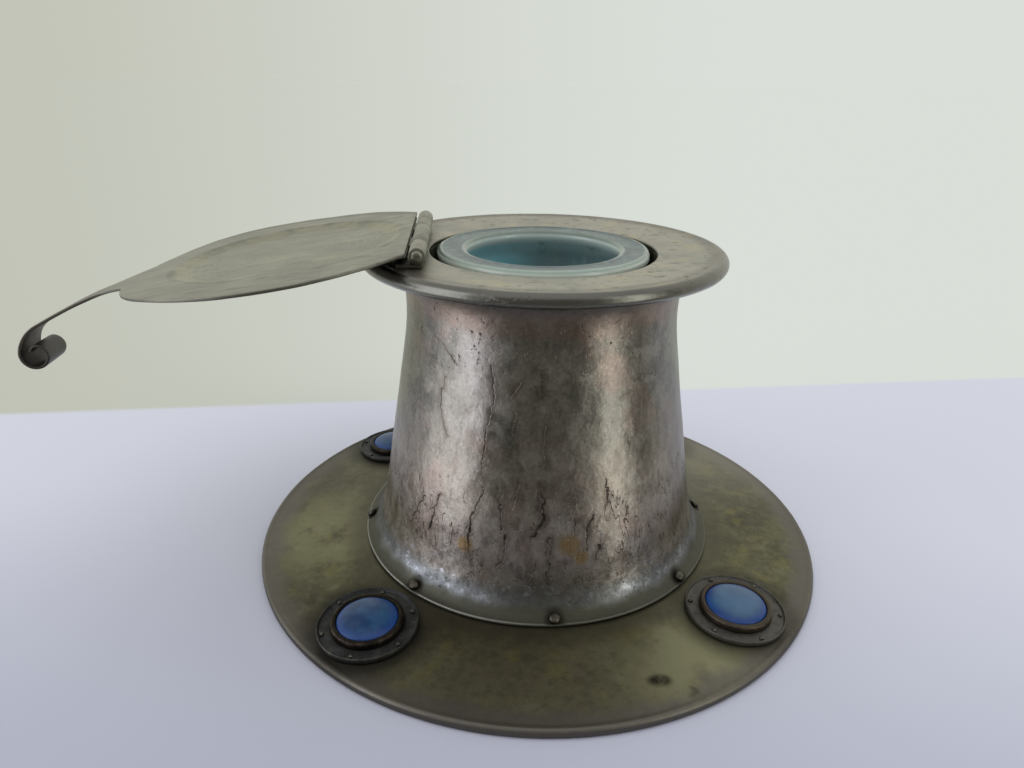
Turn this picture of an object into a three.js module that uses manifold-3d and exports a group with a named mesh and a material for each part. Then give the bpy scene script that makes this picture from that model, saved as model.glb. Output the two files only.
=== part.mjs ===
// A desk inkstand in hammered and riveted sheet metal: a wide base plate with four stone roundels,
// a waisted hollow body, a rolled collar, a glazed liner that lifts out, and a hinged lid whose tip
// curls into a scroll handle. Millimetres, +Z up, origin on the body's axis at the underside.
// The lid stands open towards -X and lies on the collar when it is swung over to +X.
import * as THREE from "three";
import { mergeVertices } from "three/addons/utils/BufferGeometryUtils.js";
import Module from "manifold-3d";

const wasm = await Module();
wasm.setup();

// Turns and sides
const quarter_turn = Math.PI / 2;
const full_turn = 2 * Math.PI;
const degree = Math.PI / 180;
const large_sides = 48;
const liner_sides = 36;
const roundel_sides = 20;
const knuckle_sides = 12;
const rivet_sides = 10;
const pin_sides = 6;

// Fits: soldered faces, loose seats, running pins and how far a cutter reaches past what it cuts
const solder_gap = 0.1;
const seat_gap = 0.3;
const running_gap = 0.1;
const overrun = 0.5;
const merge_distance = 1e-4;

// Base plate
const plate_margin = 2.7;
const plate_middle_thickness = 3.6;
const plate_flat_margin = 0.8;
const plate_edge_thickness = 2.35;
const plate_bead_width = 2.4;
const plate_bead_rise = 0.35;
const plate_foot_chamfer = 0.7;

// Body shell, one spun sheet that flares out at its foot and has a flange under the collar
const shell_sheet = 1;
const foot_width = 7.1;
const foot_rim_lead = 2.7;
const foot_rim_rise = 0.7;
const foot_bend_rise = 3.8;
const foot_curve_steps = 10;
const wall_foot_height = 18;
const wall_flare = 7.9;
const well_to_wall = 6.1;
const neck_height = 28.2;
const neck_lead = 18;
const neck_sweep = 6;
const shell_top_flat_width = 1.2;
const shell_curve_steps = 4;

// Collar, a slightly dished ring whose outer edge is rolled over a wire
const collar_overhang = 11.5;
const collar_sheet = 1;
const collar_top_height = 95.2;
const collar_to_liner = 2.2;
const collar_dish_depth = 0.9;
const collar_dish_width = 13.5;
const collar_bead_radius = 2;
const collar_bead_rise = 0.3;
const collar_lip_round = 0.3;
const collar_bead_turn = 240 * degree;
const collar_bead_steps = 6;
const collar_bead_blend = 2.2;
const bead_to_flange_gap = 0.3;

// Well, the sheet cup under the collar that the liner stands in
const well_sheet = 0.9;
const well_step = 0.2;
const well_depth = 35.2;
const well_corner_radius = 3;
const well_flange_width = 4;
const well_corner_steps = 3;

// Liner, glazed pottery
const liner_bowl_radius = 25.2;
const liner_side_thickness = 4.8;
const liner_lip_overhang = 0.8;
const liner_lip_rise = 0.9;
const liner_mouth_overhang = 3.3;
const liner_lip_round = 1.6;
const liner_mouth_round = 1.3;
const liner_lip_depth = 3.4;
const liner_side_taper = 1.8;
const liner_heel_height = 6;
const liner_heel_taper = 4.2;
const liner_foot_width = 3.6;
const liner_foot_height = 0.9;
const liner_bowl_throat = 9;
const liner_floor_thickness = 4.2;
const liner_bowl_round = 11;
const liner_bowl_steps = 4;

// Hinge
const hinge_to_opening = 2;
const hinge_length = 54;
const knuckle_count = 5;
const knuckle_radius = 2.3;
const knuckle_sink = 0.2;
const knuckle_gap = 0.3;
const hinge_pin_radius = 1.05;
const hinge_pin_head_radius = 1.5;
const hinge_pin_head_length = 0.6;
const leaf_thickness = 1;
const collar_leaf_reach = 5.5;
const collar_leaf_lip = 1.4;
const lid_leaf_thickness = 0.8;
const lid_leaf_reach = 5.7;
const leaf_clearance = 0.4;

// Lid, a round sheet with a shallow boss, and the strip it runs out into
const lid_inset = 6.9;
const lid_sheet = 0.9;
const lid_offset = 2.7;
const lid_face_rise = 1.8;
const lid_flat_reach = 20.3;
const lid_boss_to_lip = 1.2;
const lid_boss_slope_width = 3;
const lid_boss_depth = 1.2;
const lid_inner_ring_radius = 15;
const lid_bend_length = 29;
const lid_bend_turn = 11 * degree;
const neck_length = 27.5;
const neck_turn = 10 * degree;
const drop_length = 10;
const drop_turn = 51 * degree;
const scroll_radii = [4.2, 4.2, 3.2, 2.4];
const strip_root_half_width = 12;
const strip_root_length = 12;
const strip_neck_half_width = 4.4;
const strip_drop_half_width = 5.6;
const strip_end_half_width = 5;
const lid_hinge_steps = 8;
const lid_arc_steps = 16;
const strip_columns = 4;
const strip_row_length = 5.5;
const strip_row_turn = 26 * degree;

// Rivets that hold the flared foot to the plate, each square to the flare
const rivet_count = 8;
const rivet_place_share = 0.2;
const rivet_shank_radius = 0.9;
const rivet_shank_length = 4.8;
const rivet_head_radius = 1.6;
const rivet_head_height = 1.1;
const rivet_head_lift = 0.3;
const rivet_dome_steps = 3;

// Roundels, each a dished plate with a bezel, a stone and six pins
const roundel_azimuths = [45, 135, 226, 315];
const roundel_to_flange = 2.5;
const roundel_sheet = 0.8;
const roundel_rim_width = 0.7;
const roundel_rim_rise = 0.7;
const bezel_outer_radius = 9.95;
const bezel_wall = 1.2;
const bezel_height = 2;
const bezel_lip = 0.35;
const bezel_lip_height = 0.5;
const stone_height = 3.7;
const stone_girdle_height = 1.2;
const stone_steps = 4;
const roundel_pin_count = 6;
const roundel_pin_start = 30;
const roundel_pin_to_bezel = 2.25;
const roundel_pin_to_rim = 0.9;
const roundel_pin_radius = 0.4;
const roundel_pin_head_radius = 0.6;
const roundel_pin_head_height = 0.6;
const roundel_pin_depth = 1.6;
const pin_crown_share = 0.8;

// Radii, from the liner's bowl out to the plate's rim
const liner_mouth_radius = liner_bowl_radius - liner_mouth_overhang;
const liner_wall_radius = liner_bowl_radius + liner_side_thickness;
const liner_lip_radius = liner_wall_radius + liner_lip_overhang;
const liner_heel_radius = liner_wall_radius - liner_side_taper;
const liner_foot_radius = liner_heel_radius - liner_heel_taper;
const collar_opening_radius = liner_lip_radius + collar_to_liner;
const well_inner_radius = collar_opening_radius + well_step;
const wall_top_radius = well_inner_radius + well_sheet + well_to_wall + shell_sheet;
const collar_radius = wall_top_radius + collar_overhang;
const wall_foot_radius = wall_top_radius + wall_flare;
const flange_radius = wall_foot_radius + foot_width;
const roundel_pin_circle_radius = bezel_outer_radius + roundel_pin_to_bezel;
const roundel_radius = roundel_pin_circle_radius + roundel_pin_to_rim + roundel_rim_width;
const roundel_circle_radius = flange_radius + roundel_to_flange + roundel_radius;
const plate_radius = roundel_circle_radius + roundel_radius + plate_margin;
const plate_flat_radius = flange_radius + plate_flat_margin;
const plate_bead_inner_radius = plate_radius - plate_bead_width;

// The lid, which covers the liner and most of the collar
const hinge_axis_x = -collar_opening_radius - hinge_to_opening;
const lid_centre = lid_offset - hinge_axis_x;
const lid_radius = collar_radius - lid_inset;
const lid_flat_length = lid_centre + lid_flat_reach;
const lid_boss_edge_radius = liner_lip_radius + lid_boss_to_lip;
const lid_boss_radius = lid_boss_edge_radius - lid_boss_slope_width;

// Heights that several pieces share
const plate_fall = Math.atan(
  (plate_middle_thickness - plate_edge_thickness) / (plate_bead_inner_radius - plate_flat_radius),
);
const flange_bottom = plate_middle_thickness + solder_gap;
const flange_top = flange_bottom + shell_sheet;
const collar_underside = collar_top_height - collar_sheet;
const wall_top_height = collar_top_height - neck_height;
const opening_height = collar_top_height - collar_dish_depth;
const opening_underside = opening_height - collar_sheet;
const well_floor_height = opening_height - well_depth;
const bead_centre_radius = collar_radius - collar_bead_radius;
const bead_top = collar_top_height + collar_bead_rise;
const bead_centre_height = bead_top - collar_bead_radius;
const collar_leaf_top = collar_top_height + solder_gap + leaf_thickness;
const hinge_axis_height = collar_leaf_top + knuckle_radius - knuckle_sink;
const knuckle_bore_radius = hinge_pin_radius + running_gap;
const lid_start = knuckle_radius + leaf_clearance;

// The open lid rests with its boss on the rolled edge of the collar, and that sets its slope.
const boss_underside_rise = lid_face_rise - lid_sheet - lid_boss_depth;
const bead_from_hinge = bead_centre_radius + hinge_axis_x;
const lid_slope = Math.atan(
  (hinge_axis_height + boss_underside_rise - bead_top - seat_gap) / bead_from_hinge,
);

// Finishes
function metal(name, colour, roughness) {
  const material = new THREE.MeshStandardMaterial({ color: colour, roughness, metalness: 0.9 });
  material.name = name;
  return material;
}
const body_metal = metal("body_metal", 0x8f8985, 0.38);
const plate_metal = metal("plate_metal", 0x5d5a40, 0.5);
const collar_metal = metal("collar_metal", 0x8b8676, 0.45);
const lid_metal = metal("lid_metal", 0x7d7f70, 0.45);
const dark_metal = metal("dark_metal", 0x4a4741, 0.4);
const bezel_metal = metal("bezel_metal", 0x6b5240, 0.45);
const glaze = new THREE.MeshStandardMaterial({ color: 0x3f7f86, roughness: 0.15, metalness: 0 });
const stone_blue = new THREE.MeshStandardMaterial({ color: 0x2f63b8, roughness: 0.12, metalness: 0 });

// A closed mesh keeps only positions, merges shared corners and drops triangles that have no area.
function closed(geometry) {
  const bare = geometry.clone();
  bare.deleteAttribute("normal");
  bare.deleteAttribute("uv");
  const merged = mergeVertices(bare, merge_distance);
  const corners = merged.index.array;
  const kept = [];
  for (let i = 0; i < corners.length; i += 3) {
    const [a, b, c] = corners.slice(i, i + 3);
    if (a !== b && b !== c && c !== a) kept.push(a, b, c);
  }
  merged.setIndex(kept);
  return merged;
}

function solidOf(geometry) {
  const shape = closed(geometry);
  return new wasm.Manifold(
    new wasm.Mesh({
      numProp: 3,
      vertProperties: new Float32Array(shape.attributes.position.array),
      triVerts: new Uint32Array(shape.index.array),
    }),
  );
}

function geometryOf(solid) {
  const mesh = solid.getMesh();
  const geometry = new THREE.BufferGeometry();
  geometry.setAttribute("position", new THREE.BufferAttribute(mesh.vertProperties, 3));
  geometry.setIndex(new THREE.BufferAttribute(mesh.triVerts, 1));
  return geometry;
}

function cut(geometry, cutters) {
  let solid = solidOf(geometry);
  for (const cutter of cutters) solid = solid.subtract(solidOf(cutter));
  return geometryOf(solid);
}

function join(geometries) {
  let solid = solidOf(geometries[0]);
  for (const other of geometries.slice(1)) solid = solid.add(solidOf(other));
  return geometryOf(solid);
}

// A turned piece from a profile of [radius, height] points, taken up the outside.
function turned(profile, sides) {
  const points = profile.map(([radius, height]) => new THREE.Vector2(radius, height));
  const geometry = new THREE.LatheGeometry(points, sides);
  geometry.rotateX(quarter_turn);
  return closed(geometry);
}

// A turned ring, whose profile closes on itself.
function turnedRing(profile, sides) {
  return turned([...profile, profile[0]], sides);
}

function block(size, centre) {
  const geometry = new THREE.BoxGeometry(...size);
  geometry.translate(...centre);
  return geometry;
}

// The other side of a sheet, each point moved square to the line through its neighbours.
function offsetLine(line, distance) {
  return line.map((point, i) => {
    const before = line[Math.max(i - 1, 0)];
    const after = line[Math.min(i + 1, line.length - 1)];
    const run = after[0] - before[0];
    const rise = after[1] - before[1];
    const length = Math.hypot(run, rise);
    return [point[0] - (distance * rise) / length, point[1] + (distance * run) / length];
  });
}

function curvePoints(curve, steps) {
  return curve.getPoints(steps).map((point) => [point.x, point.y]);
}

function arcPoints(centre_radius, centre_height, radius, start, turn, steps) {
  return Array.from({ length: steps + 1 }, (_, i) => {
    const angle = start + (turn * i) / steps;
    return [centre_radius + radius * Math.cos(angle), centre_height + radius * Math.sin(angle)];
  });
}

function around(count, place) {
  return Array.from({ length: count }, (_, i) => place((full_turn * i) / count, i));
}

// A copy of a piece moved out along X and turned about Z to an azimuth.
function atAzimuth(geometry, radius, azimuth) {
  return geometry.clone().translate(radius, 0, 0).rotateZ(azimuth);
}

function piece(name, geometry, material) {
  const mesh = new THREE.Mesh(geometry, material);
  mesh.name = name;
  return mesh;
}

// The flare of the foot, from its rim up to the straight wall, and the place of the rivets on it
const wall_taper = (wall_foot_radius - wall_top_radius) / (wall_top_height - wall_foot_height);
const foot_bend_height = flange_top + foot_bend_rise;
const foot_curve = new THREE.CubicBezierCurve(
  new THREE.Vector2(flange_radius, flange_top),
  new THREE.Vector2(flange_radius - foot_rim_lead, flange_top + foot_rim_rise),
  new THREE.Vector2(
    wall_foot_radius + wall_taper * (wall_foot_height - foot_bend_height),
    foot_bend_height,
  ),
  new THREE.Vector2(wall_foot_radius, wall_foot_height),
);
const rivet_seat = foot_curve.getPoint(rivet_place_share);
const rivet_seat_run = foot_curve.getTangent(rivet_place_share);
const rivet_tilt = Math.atan2(rivet_seat_run.y, -rivet_seat_run.x);

// Rivet, in its own frame, whose zero is the flare's surface: a domed head and a shank into the plate
function makeRivet() {
  const head_top = rivet_head_lift + rivet_head_height;
  const dome = new THREE.CubicBezierCurve(
    new THREE.Vector2(rivet_head_radius, rivet_head_lift),
    new THREE.Vector2(rivet_head_radius, rivet_head_lift + rivet_head_height / 2),
    new THREE.Vector2(rivet_head_radius / 2, head_top),
    new THREE.Vector2(0, head_top),
  );
  return turned(
    [
      [0, -rivet_shank_length],
      [rivet_shank_radius, -rivet_shank_length],
      [rivet_shank_radius, rivet_head_lift],
      ...curvePoints(dome, rivet_dome_steps),
    ],
    rivet_sides,
  );
}

function rivetCutter() {
  const radius = rivet_shank_radius + solder_gap;
  const bottom = -rivet_shank_length - solder_gap;
  return turned([[0, bottom], [radius, bottom], [radius, overrun], [0, overrun]], rivet_sides);
}

// Moves a rivet, or its cutter, from its own frame onto the flare.
function onFoot(geometry, azimuth) {
  const tipped = geometry.clone().rotateY(rivet_tilt);
  tipped.translate(0, 0, rivet_seat.y);
  return atAzimuth(tipped, rivet_seat.x, azimuth);
}

// Pins of the roundels, in the roundel's own frame, where the plate's surface is at zero
const roundel_bottom = seat_gap;
const roundel_channel = roundel_bottom + roundel_sheet;

function roundelPlaces(geometry) {
  return around(roundel_pin_count, (azimuth) =>
    atAzimuth(geometry, roundel_pin_circle_radius, azimuth + roundel_pin_start * degree),
  );
}

function makeRoundelPin() {
  const head_bottom = roundel_channel + solder_gap;
  const head_top = head_bottom + roundel_pin_head_height;
  return turned(
    [
      [0, -roundel_pin_depth],
      [roundel_pin_radius, -roundel_pin_depth],
      [roundel_pin_radius, head_bottom],
      [roundel_pin_head_radius, head_bottom],
      [roundel_pin_head_radius * pin_crown_share, head_bottom + roundel_pin_head_height / 2],
      [0, head_top],
    ],
    pin_sides,
  );
}

function roundelPinCutter() {
  const radius = roundel_pin_radius + running_gap;
  const bottom = -roundel_pin_depth - solder_gap;
  const top = roundel_channel + overrun;
  return turned([[0, bottom], [radius, bottom], [radius, top], [0, top]], pin_sides);
}

// The sloping top of the plate at the roundels' circle
const roundel_seat_height =
  plate_middle_thickness - (roundel_circle_radius - plate_flat_radius) * Math.tan(plate_fall);

// Moves a roundel piece from its own frame onto the plate.
function onPlate(geometry, azimuth) {
  const tipped = geometry.clone().rotateY(plate_fall);
  tipped.translate(0, 0, roundel_seat_height);
  return atAzimuth(tipped, roundel_circle_radius, azimuth);
}

function makeBasePlate() {
  const bead_top_height = plate_edge_thickness + plate_bead_rise;
  const bead_middle = plate_bead_inner_radius + plate_bead_width / 2;
  const blank = turned(
    [
      [0, 0],
      [plate_radius - plate_foot_chamfer, 0],
      [plate_radius, plate_foot_chamfer],
      [plate_radius, plate_edge_thickness - plate_foot_chamfer],
      [plate_radius - plate_foot_chamfer, plate_edge_thickness],
      [bead_middle, bead_top_height],
      [plate_bead_inner_radius, plate_edge_thickness],
      [plate_flat_radius, plate_middle_thickness],
      [0, plate_middle_thickness],
    ],
    large_sides,
  );
  const rivet_cuts = around(rivet_count, (azimuth) => onFoot(rivetCutter(), azimuth));
  const pin_cuts = roundel_azimuths.flatMap((azimuth) =>
    roundelPlaces(roundelPinCutter()).map((cutter) => onPlate(cutter, azimuth * degree)),
  );
  return cut(blank, [...rivet_cuts, ...pin_cuts]);
}

// The body's outer line runs in from the foot's rim, up the tapered wall and out again under the collar.
function makeBodyShell() {
  const shell_top = collar_underside - solder_gap;
  const shell_top_underside = shell_top - shell_sheet;
  const top_radius = bead_centre_radius - collar_bead_radius - bead_to_flange_gap;
  const neck = new THREE.CubicBezierCurve(
    new THREE.Vector2(wall_top_radius, wall_top_height),
    new THREE.Vector2(wall_top_radius - wall_taper * neck_lead, wall_top_height + neck_lead),
    new THREE.Vector2(top_radius - shell_top_flat_width - neck_sweep, shell_top_underside),
    new THREE.Vector2(top_radius - shell_top_flat_width, shell_top_underside),
  );
  const outside = [
    ...curvePoints(foot_curve, foot_curve_steps),
    ...curvePoints(neck, shell_curve_steps),
    [top_radius, shell_top_underside],
  ];
  const inside = offsetLine(outside, shell_sheet);
  const blank = turnedRing([...outside, ...inside.reverse()], large_sides);
  const rivet_cuts = around(rivet_count, (azimuth) => onFoot(rivetCutter(), azimuth));
  return cut(blank, rivet_cuts);
}

function makeCollar() {
  const bead = arcPoints(
    bead_centre_radius,
    bead_centre_height,
    collar_bead_radius,
    quarter_turn,
    -collar_bead_turn,
    collar_bead_steps,
  );
  const bead_inner_radius = bead_centre_radius - collar_bead_radius;
  const dish_radius = collar_opening_radius + collar_dish_width;
  return turnedRing(
    [
      [collar_opening_radius, opening_underside],
      [dish_radius, collar_underside],
      [bead_inner_radius, collar_underside],
      ...bead.reverse(),
      [bead_centre_radius - collar_bead_blend, collar_top_height],
      [dish_radius, collar_top_height],
      [collar_opening_radius + collar_lip_round, opening_height],
      [collar_opening_radius, opening_height - collar_lip_round],
    ],
    large_sides,
  );
}

function makeLinerWell() {
  const flange_edge = well_inner_radius + well_flange_width;
  const well_top = opening_underside - solder_gap;
  const outer_radius = well_inner_radius + well_sheet;
  const corner_centre = well_inner_radius - well_corner_radius;
  const corner_height = well_floor_height + well_corner_radius;
  const outer_corner = arcPoints(
    corner_centre,
    corner_height,
    well_corner_radius + well_sheet,
    -quarter_turn,
    quarter_turn,
    well_corner_steps,
  );
  const inner_corner = arcPoints(
    corner_centre,
    corner_height,
    well_corner_radius,
    0,
    -quarter_turn,
    well_corner_steps,
  );
  return turned(
    [
      [0, well_floor_height - well_sheet],
      ...outer_corner,
      [outer_radius, well_top - well_sheet],
      [flange_edge, well_top - well_sheet],
      [flange_edge, well_top],
      [well_inner_radius, well_top],
      ...inner_corner,
      [0, well_floor_height],
    ],
    liner_sides,
  );
}

function makeLiner() {
  const foot_bottom = well_floor_height + seat_gap;
  const lip_top = opening_height + liner_lip_rise;
  const lip_bottom = lip_top - liner_lip_depth;
  const foot_inner_radius = liner_foot_radius - liner_foot_width;
  const bowl_floor = foot_bottom + liner_foot_height + liner_floor_thickness;
  const lip = arcPoints(
    liner_lip_radius - liner_lip_round,
    lip_top - liner_lip_round,
    liner_lip_round,
    0,
    quarter_turn,
    2,
  );
  const mouth = arcPoints(
    liner_mouth_radius + liner_mouth_round,
    lip_top - liner_mouth_round,
    liner_mouth_round,
    quarter_turn,
    quarter_turn,
    2,
  );
  const bowl = arcPoints(
    liner_bowl_radius - liner_bowl_round,
    bowl_floor + liner_bowl_round,
    liner_bowl_round,
    0,
    -quarter_turn,
    liner_bowl_steps,
  );
  return turned(
    [
      [0, foot_bottom + liner_foot_height],
      [foot_inner_radius, foot_bottom + liner_foot_height],
      [foot_inner_radius, foot_bottom],
      [liner_foot_radius, foot_bottom],
      [liner_heel_radius, foot_bottom + liner_heel_height],
      [liner_wall_radius, lip_bottom],
      ...lip,
      ...mouth,
      [liner_bowl_radius, lip_top - liner_bowl_throat],
      ...bowl,
      [0, bowl_floor],
    ],
    liner_sides,
  );
}

// Hinge pieces, in a frame whose origin is the hinge axis; knuckles run along Y
const knuckle_length = (hinge_length - (knuckle_count - 1) * knuckle_gap) / knuckle_count;
const knuckle_pitch = knuckle_length + knuckle_gap;

function alongHinge(geometry) {
  return geometry.rotateX(quarter_turn);
}

function knuckleMiddle(index) {
  return -hinge_length / 2 + knuckle_length / 2 + index * knuckle_pitch;
}

function knuckle(index) {
  const half = knuckle_length / 2;
  const ring = turnedRing(
    [
      [knuckle_bore_radius, -half],
      [knuckle_radius, -half],
      [knuckle_radius, half],
      [knuckle_bore_radius, half],
    ],
    knuckle_sides,
  );
  return alongHinge(ring).translate(0, knuckleMiddle(index), 0);
}

function isCollarKnuckle(index) {
  return index % 2 === 0;
}

const knuckle_indexes = Array.from({ length: knuckle_count }, (_, i) => i);
const collar_knuckles = knuckle_indexes.filter(isCollarKnuckle);
const lid_knuckles = knuckle_indexes.filter((index) => !isCollarKnuckle(index));

// The collar's leaf lies on the collar under the lid, with a gap cut out round each lid knuckle.
function makeCollarLeaf() {
  const width = collar_leaf_lip + collar_leaf_reach;
  const middle = collar_leaf_lip - width / 2;
  const height = -knuckle_radius + knuckle_sink - leaf_thickness / 2;
  const strip = block([width, hinge_length, leaf_thickness], [middle, 0, height]);
  const notch_width = collar_leaf_lip + overrun + lid_start;
  const notch_middle = collar_leaf_lip + overrun - notch_width / 2;
  const notches = lid_knuckles.map((index) =>
    block(
      [notch_width, knuckle_pitch + knuckle_gap, leaf_thickness + overrun],
      [notch_middle, knuckleMiddle(index), height],
    ),
  );
  return join([cut(strip, notches), ...collar_knuckles.map(knuckle)]);
}

// The lid's leaf lies under the lid's outer face, with a tab to each of its knuckles.
function makeLidLeaf() {
  const top = lid_face_rise - lid_sheet - solder_gap;
  const height = top - lid_leaf_thickness / 2;
  const width = lid_leaf_reach - lid_start;
  const strip = block(
    [width, hinge_length, lid_leaf_thickness],
    [-lid_start - width / 2, 0, height],
  );
  const tab_start = (knuckle_bore_radius + knuckle_radius) / 2;
  const tab_width = width / 2 + lid_start - tab_start;
  const tabs = lid_knuckles.map((index) =>
    block(
      [tab_width, knuckle_length, lid_leaf_thickness],
      [-tab_start - tab_width / 2, knuckleMiddle(index), height],
    ),
  );
  return join([strip, ...tabs, ...lid_knuckles.map(knuckle)]);
}

function makeHingePin() {
  const half = hinge_length / 2 + knuckle_gap;
  const end = half + hinge_pin_head_length;
  return alongHinge(
    turned(
      [
        [0, -end],
        [hinge_pin_head_radius, -end],
        [hinge_pin_head_radius, -half],
        [hinge_pin_radius, -half],
        [hinge_pin_radius, half],
        [hinge_pin_head_radius, half],
        [hinge_pin_head_radius, end],
        [0, end],
      ],
      knuckle_sides,
    ),
  );
}

// The lid's inner face seen from the side, as stretches that each turn steadily
const lid_stretches = [
  { length: lid_flat_length, turn: 0 },
  { length: lid_bend_length, turn: lid_bend_turn },
  { length: neck_length, turn: neck_turn },
  { length: drop_length, turn: drop_turn },
  ...scroll_radii.map((radius) => ({ length: radius * quarter_turn, turn: quarter_turn })),
];
const drop_start = lid_flat_length + lid_bend_length + neck_length;
const drop_end = drop_start + drop_length;
const strip_end = lid_stretches.reduce((sum, stretch) => sum + stretch.length, 0);

// The place and heading of the lid's inner face at a distance from the hinge axis.
function lidLine(distance) {
  let x = 0;
  let z = lid_face_rise;
  let heading = 0;
  let left = distance;
  for (const { length, turn } of lid_stretches) {
    const run = Math.min(left, length);
    const next = heading + (turn * run) / length;
    if (turn === 0) {
      x += run * Math.cos(heading);
      z -= run * Math.sin(heading);
    } else {
      const radius = length / turn;
      x += radius * (Math.sin(next) - Math.sin(heading));
      z += radius * (Math.cos(next) - Math.cos(heading));
    }
    heading = next;
    left -= run;
    if (left <= 0) break;
  }
  return { x, z, heading };
}

// How far the boss carries the sheet out at a place on the lid.
function bossDepth(distance, side) {
  const from_centre = Math.hypot(distance - lid_centre, side);
  const share = (lid_boss_edge_radius - from_centre) / (lid_boss_edge_radius - lid_boss_radius);
  return lid_boss_depth * THREE.MathUtils.clamp(share, 0, 1);
}

// A point of the lid's sheet, at a depth below its inner face.
function lidPoint([distance, side], depth) {
  const { x, z, heading } = lidLine(distance);
  const below = depth + bossDepth(distance, side);
  return new THREE.Vector3(-(x - below * Math.sin(heading)), side, z - below * Math.cos(heading));
}

const strip_start = lid_centre + Math.sqrt(lid_radius ** 2 - strip_root_half_width ** 2);

function stripHalfWidth(distance) {
  const root_left = Math.max(0, strip_start + strip_root_length - distance) / strip_root_length;
  const flare = (strip_root_half_width - strip_neck_half_width) * root_left ** 2;
  const dropped = THREE.MathUtils.smoothstep(distance, drop_start, drop_end);
  const rolled = THREE.MathUtils.smoothstep(distance, drop_end, strip_end);
  const wide = THREE.MathUtils.lerp(strip_neck_half_width, strip_drop_half_width, dropped);
  const narrow = (strip_drop_half_width - strip_end_half_width) * rolled;
  return wide + flare - narrow;
}

// The lid's outline as a ring of [distance, side] points, with the strip's root on a straight side.
function lidOutline() {
  const hinge_distance = lid_centre - lid_start;
  const hinge_half_width = Math.sqrt(lid_radius ** 2 - hinge_distance ** 2);
  const root_angle = Math.asin(strip_root_half_width / lid_radius);
  const hinge_angle = Math.acos(-hinge_distance / lid_radius);
  const rim = (from, to) =>
    Array.from({ length: lid_arc_steps }, (_, i) => {
      const angle = from + ((to - from) * i) / lid_arc_steps;
      return [lid_centre + lid_radius * Math.cos(angle), lid_radius * Math.sin(angle)];
    });
  const straight = (distance, from, to, steps) =>
    Array.from({ length: steps }, (_, i) => [distance, from + ((to - from) * i) / steps]);
  return [
    ...straight(strip_start, -strip_root_half_width, strip_root_half_width, strip_columns),
    ...rim(root_angle, hinge_angle),
    ...straight(lid_start, hinge_half_width, -hinge_half_width, lid_hinge_steps),
    ...rim(-hinge_angle, -root_angle),
  ];
}

// Distances along the strip where its sheet has a row of corners.
function stripRows() {
  const rows = [strip_start];
  let start = 0;
  for (const { length, turn } of lid_stretches) {
    const end = start + length;
    const first = Math.max(start, strip_start);
    if (end > first) {
      const by_length = (end - first) / strip_row_length;
      const by_turn = (turn * (end - first)) / length / strip_row_turn;
      const steps = Math.ceil(Math.max(by_length, by_turn));
      for (let i = 1; i <= steps; i += 1) rows.push(first + ((end - first) * i) / steps);
    }
    start = end;
  }
  return rows;
}

function makeLid() {
  const triangles = [];
  const inner = (place) => lidPoint(place, 0);
  const outer = (place) => lidPoint(place, lid_sheet);
  const inner_face = (a, b, c) => triangles.push(inner(a), inner(b), inner(c));
  const outer_face = (a, b, c) => triangles.push(outer(c), outer(b), outer(a));
  const both = (a, b, c) => {
    inner_face(a, b, c);
    outer_face(a, b, c);
  };
  const patch = (a, b, c, d) => {
    both(a, b, c);
    both(a, c, d);
  };
  const edge = (a, b) => {
    triangles.push(inner(a), inner(b), outer(b));
    triangles.push(inner(a), outer(b), outer(a));
  };

  // The disc, in rings from its centre out to the outline
  const outline = lidOutline();
  const centre = [lid_centre, 0];
  const toward = ([distance, side], radius) => {
    const share = radius / Math.hypot(distance - lid_centre, side);
    return [lid_centre + (distance - lid_centre) * share, side * share];
  };
  const radii = [lid_inner_ring_radius, lid_boss_radius, lid_boss_edge_radius];
  outline.forEach((place, i) => {
    const next = outline[(i + 1) % outline.length];
    const rings = radii.map((radius) => [toward(place, radius), toward(next, radius)]);
    rings.push([place, next]);
    both(centre, rings[0][1], rings[0][0]);
    for (let k = 1; k < rings.length; k += 1) {
      patch(rings[k - 1][0], rings[k - 1][1], rings[k][1], rings[k][0]);
    }
    if (i >= strip_columns) edge(place, next);
  });

  // The strip, in rows from the disc to the end of the scroll
  const rows = stripRows();
  const column = (distance, i) => {
    const half = stripHalfWidth(distance);
    return [distance, -half + (2 * half * i) / strip_columns];
  };
  for (let r = 1; r < rows.length; r += 1) {
    for (let i = 0; i < strip_columns; i += 1) {
      patch(
        column(rows[r - 1], i),
        column(rows[r - 1], i + 1),
        column(rows[r], i + 1),
        column(rows[r], i),
      );
    }
    edge(column(rows[r - 1], 0), column(rows[r], 0));
    edge(column(rows[r], strip_columns), column(rows[r - 1], strip_columns));
  }
  const last = rows[rows.length - 1];
  for (let i = 0; i < strip_columns; i += 1) edge(column(last, i), column(last, i + 1));
  return closed(new THREE.BufferGeometry().setFromPoints(triangles));
}

// Roundel pieces, in the roundel's own frame
function makeRoundelPlate() {
  const rim_inner = roundel_radius - roundel_rim_width;
  const rim_top = roundel_channel + roundel_rim_rise;
  const blank = turned(
    [
      [0, roundel_bottom],
      [roundel_radius, roundel_bottom],
      [roundel_radius, roundel_channel],
      [roundel_radius - roundel_rim_width / 3, rim_top],
      [rim_inner + roundel_rim_width / 3, rim_top],
      [rim_inner, roundel_channel],
      [0, roundel_channel],
    ],
    roundel_sides,
  );
  return cut(blank, roundelPlaces(roundelPinCutter()));
}

const bezel_bottom = roundel_channel + solder_gap;
const bezel_inner_radius = bezel_outer_radius - bezel_wall;

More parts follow.
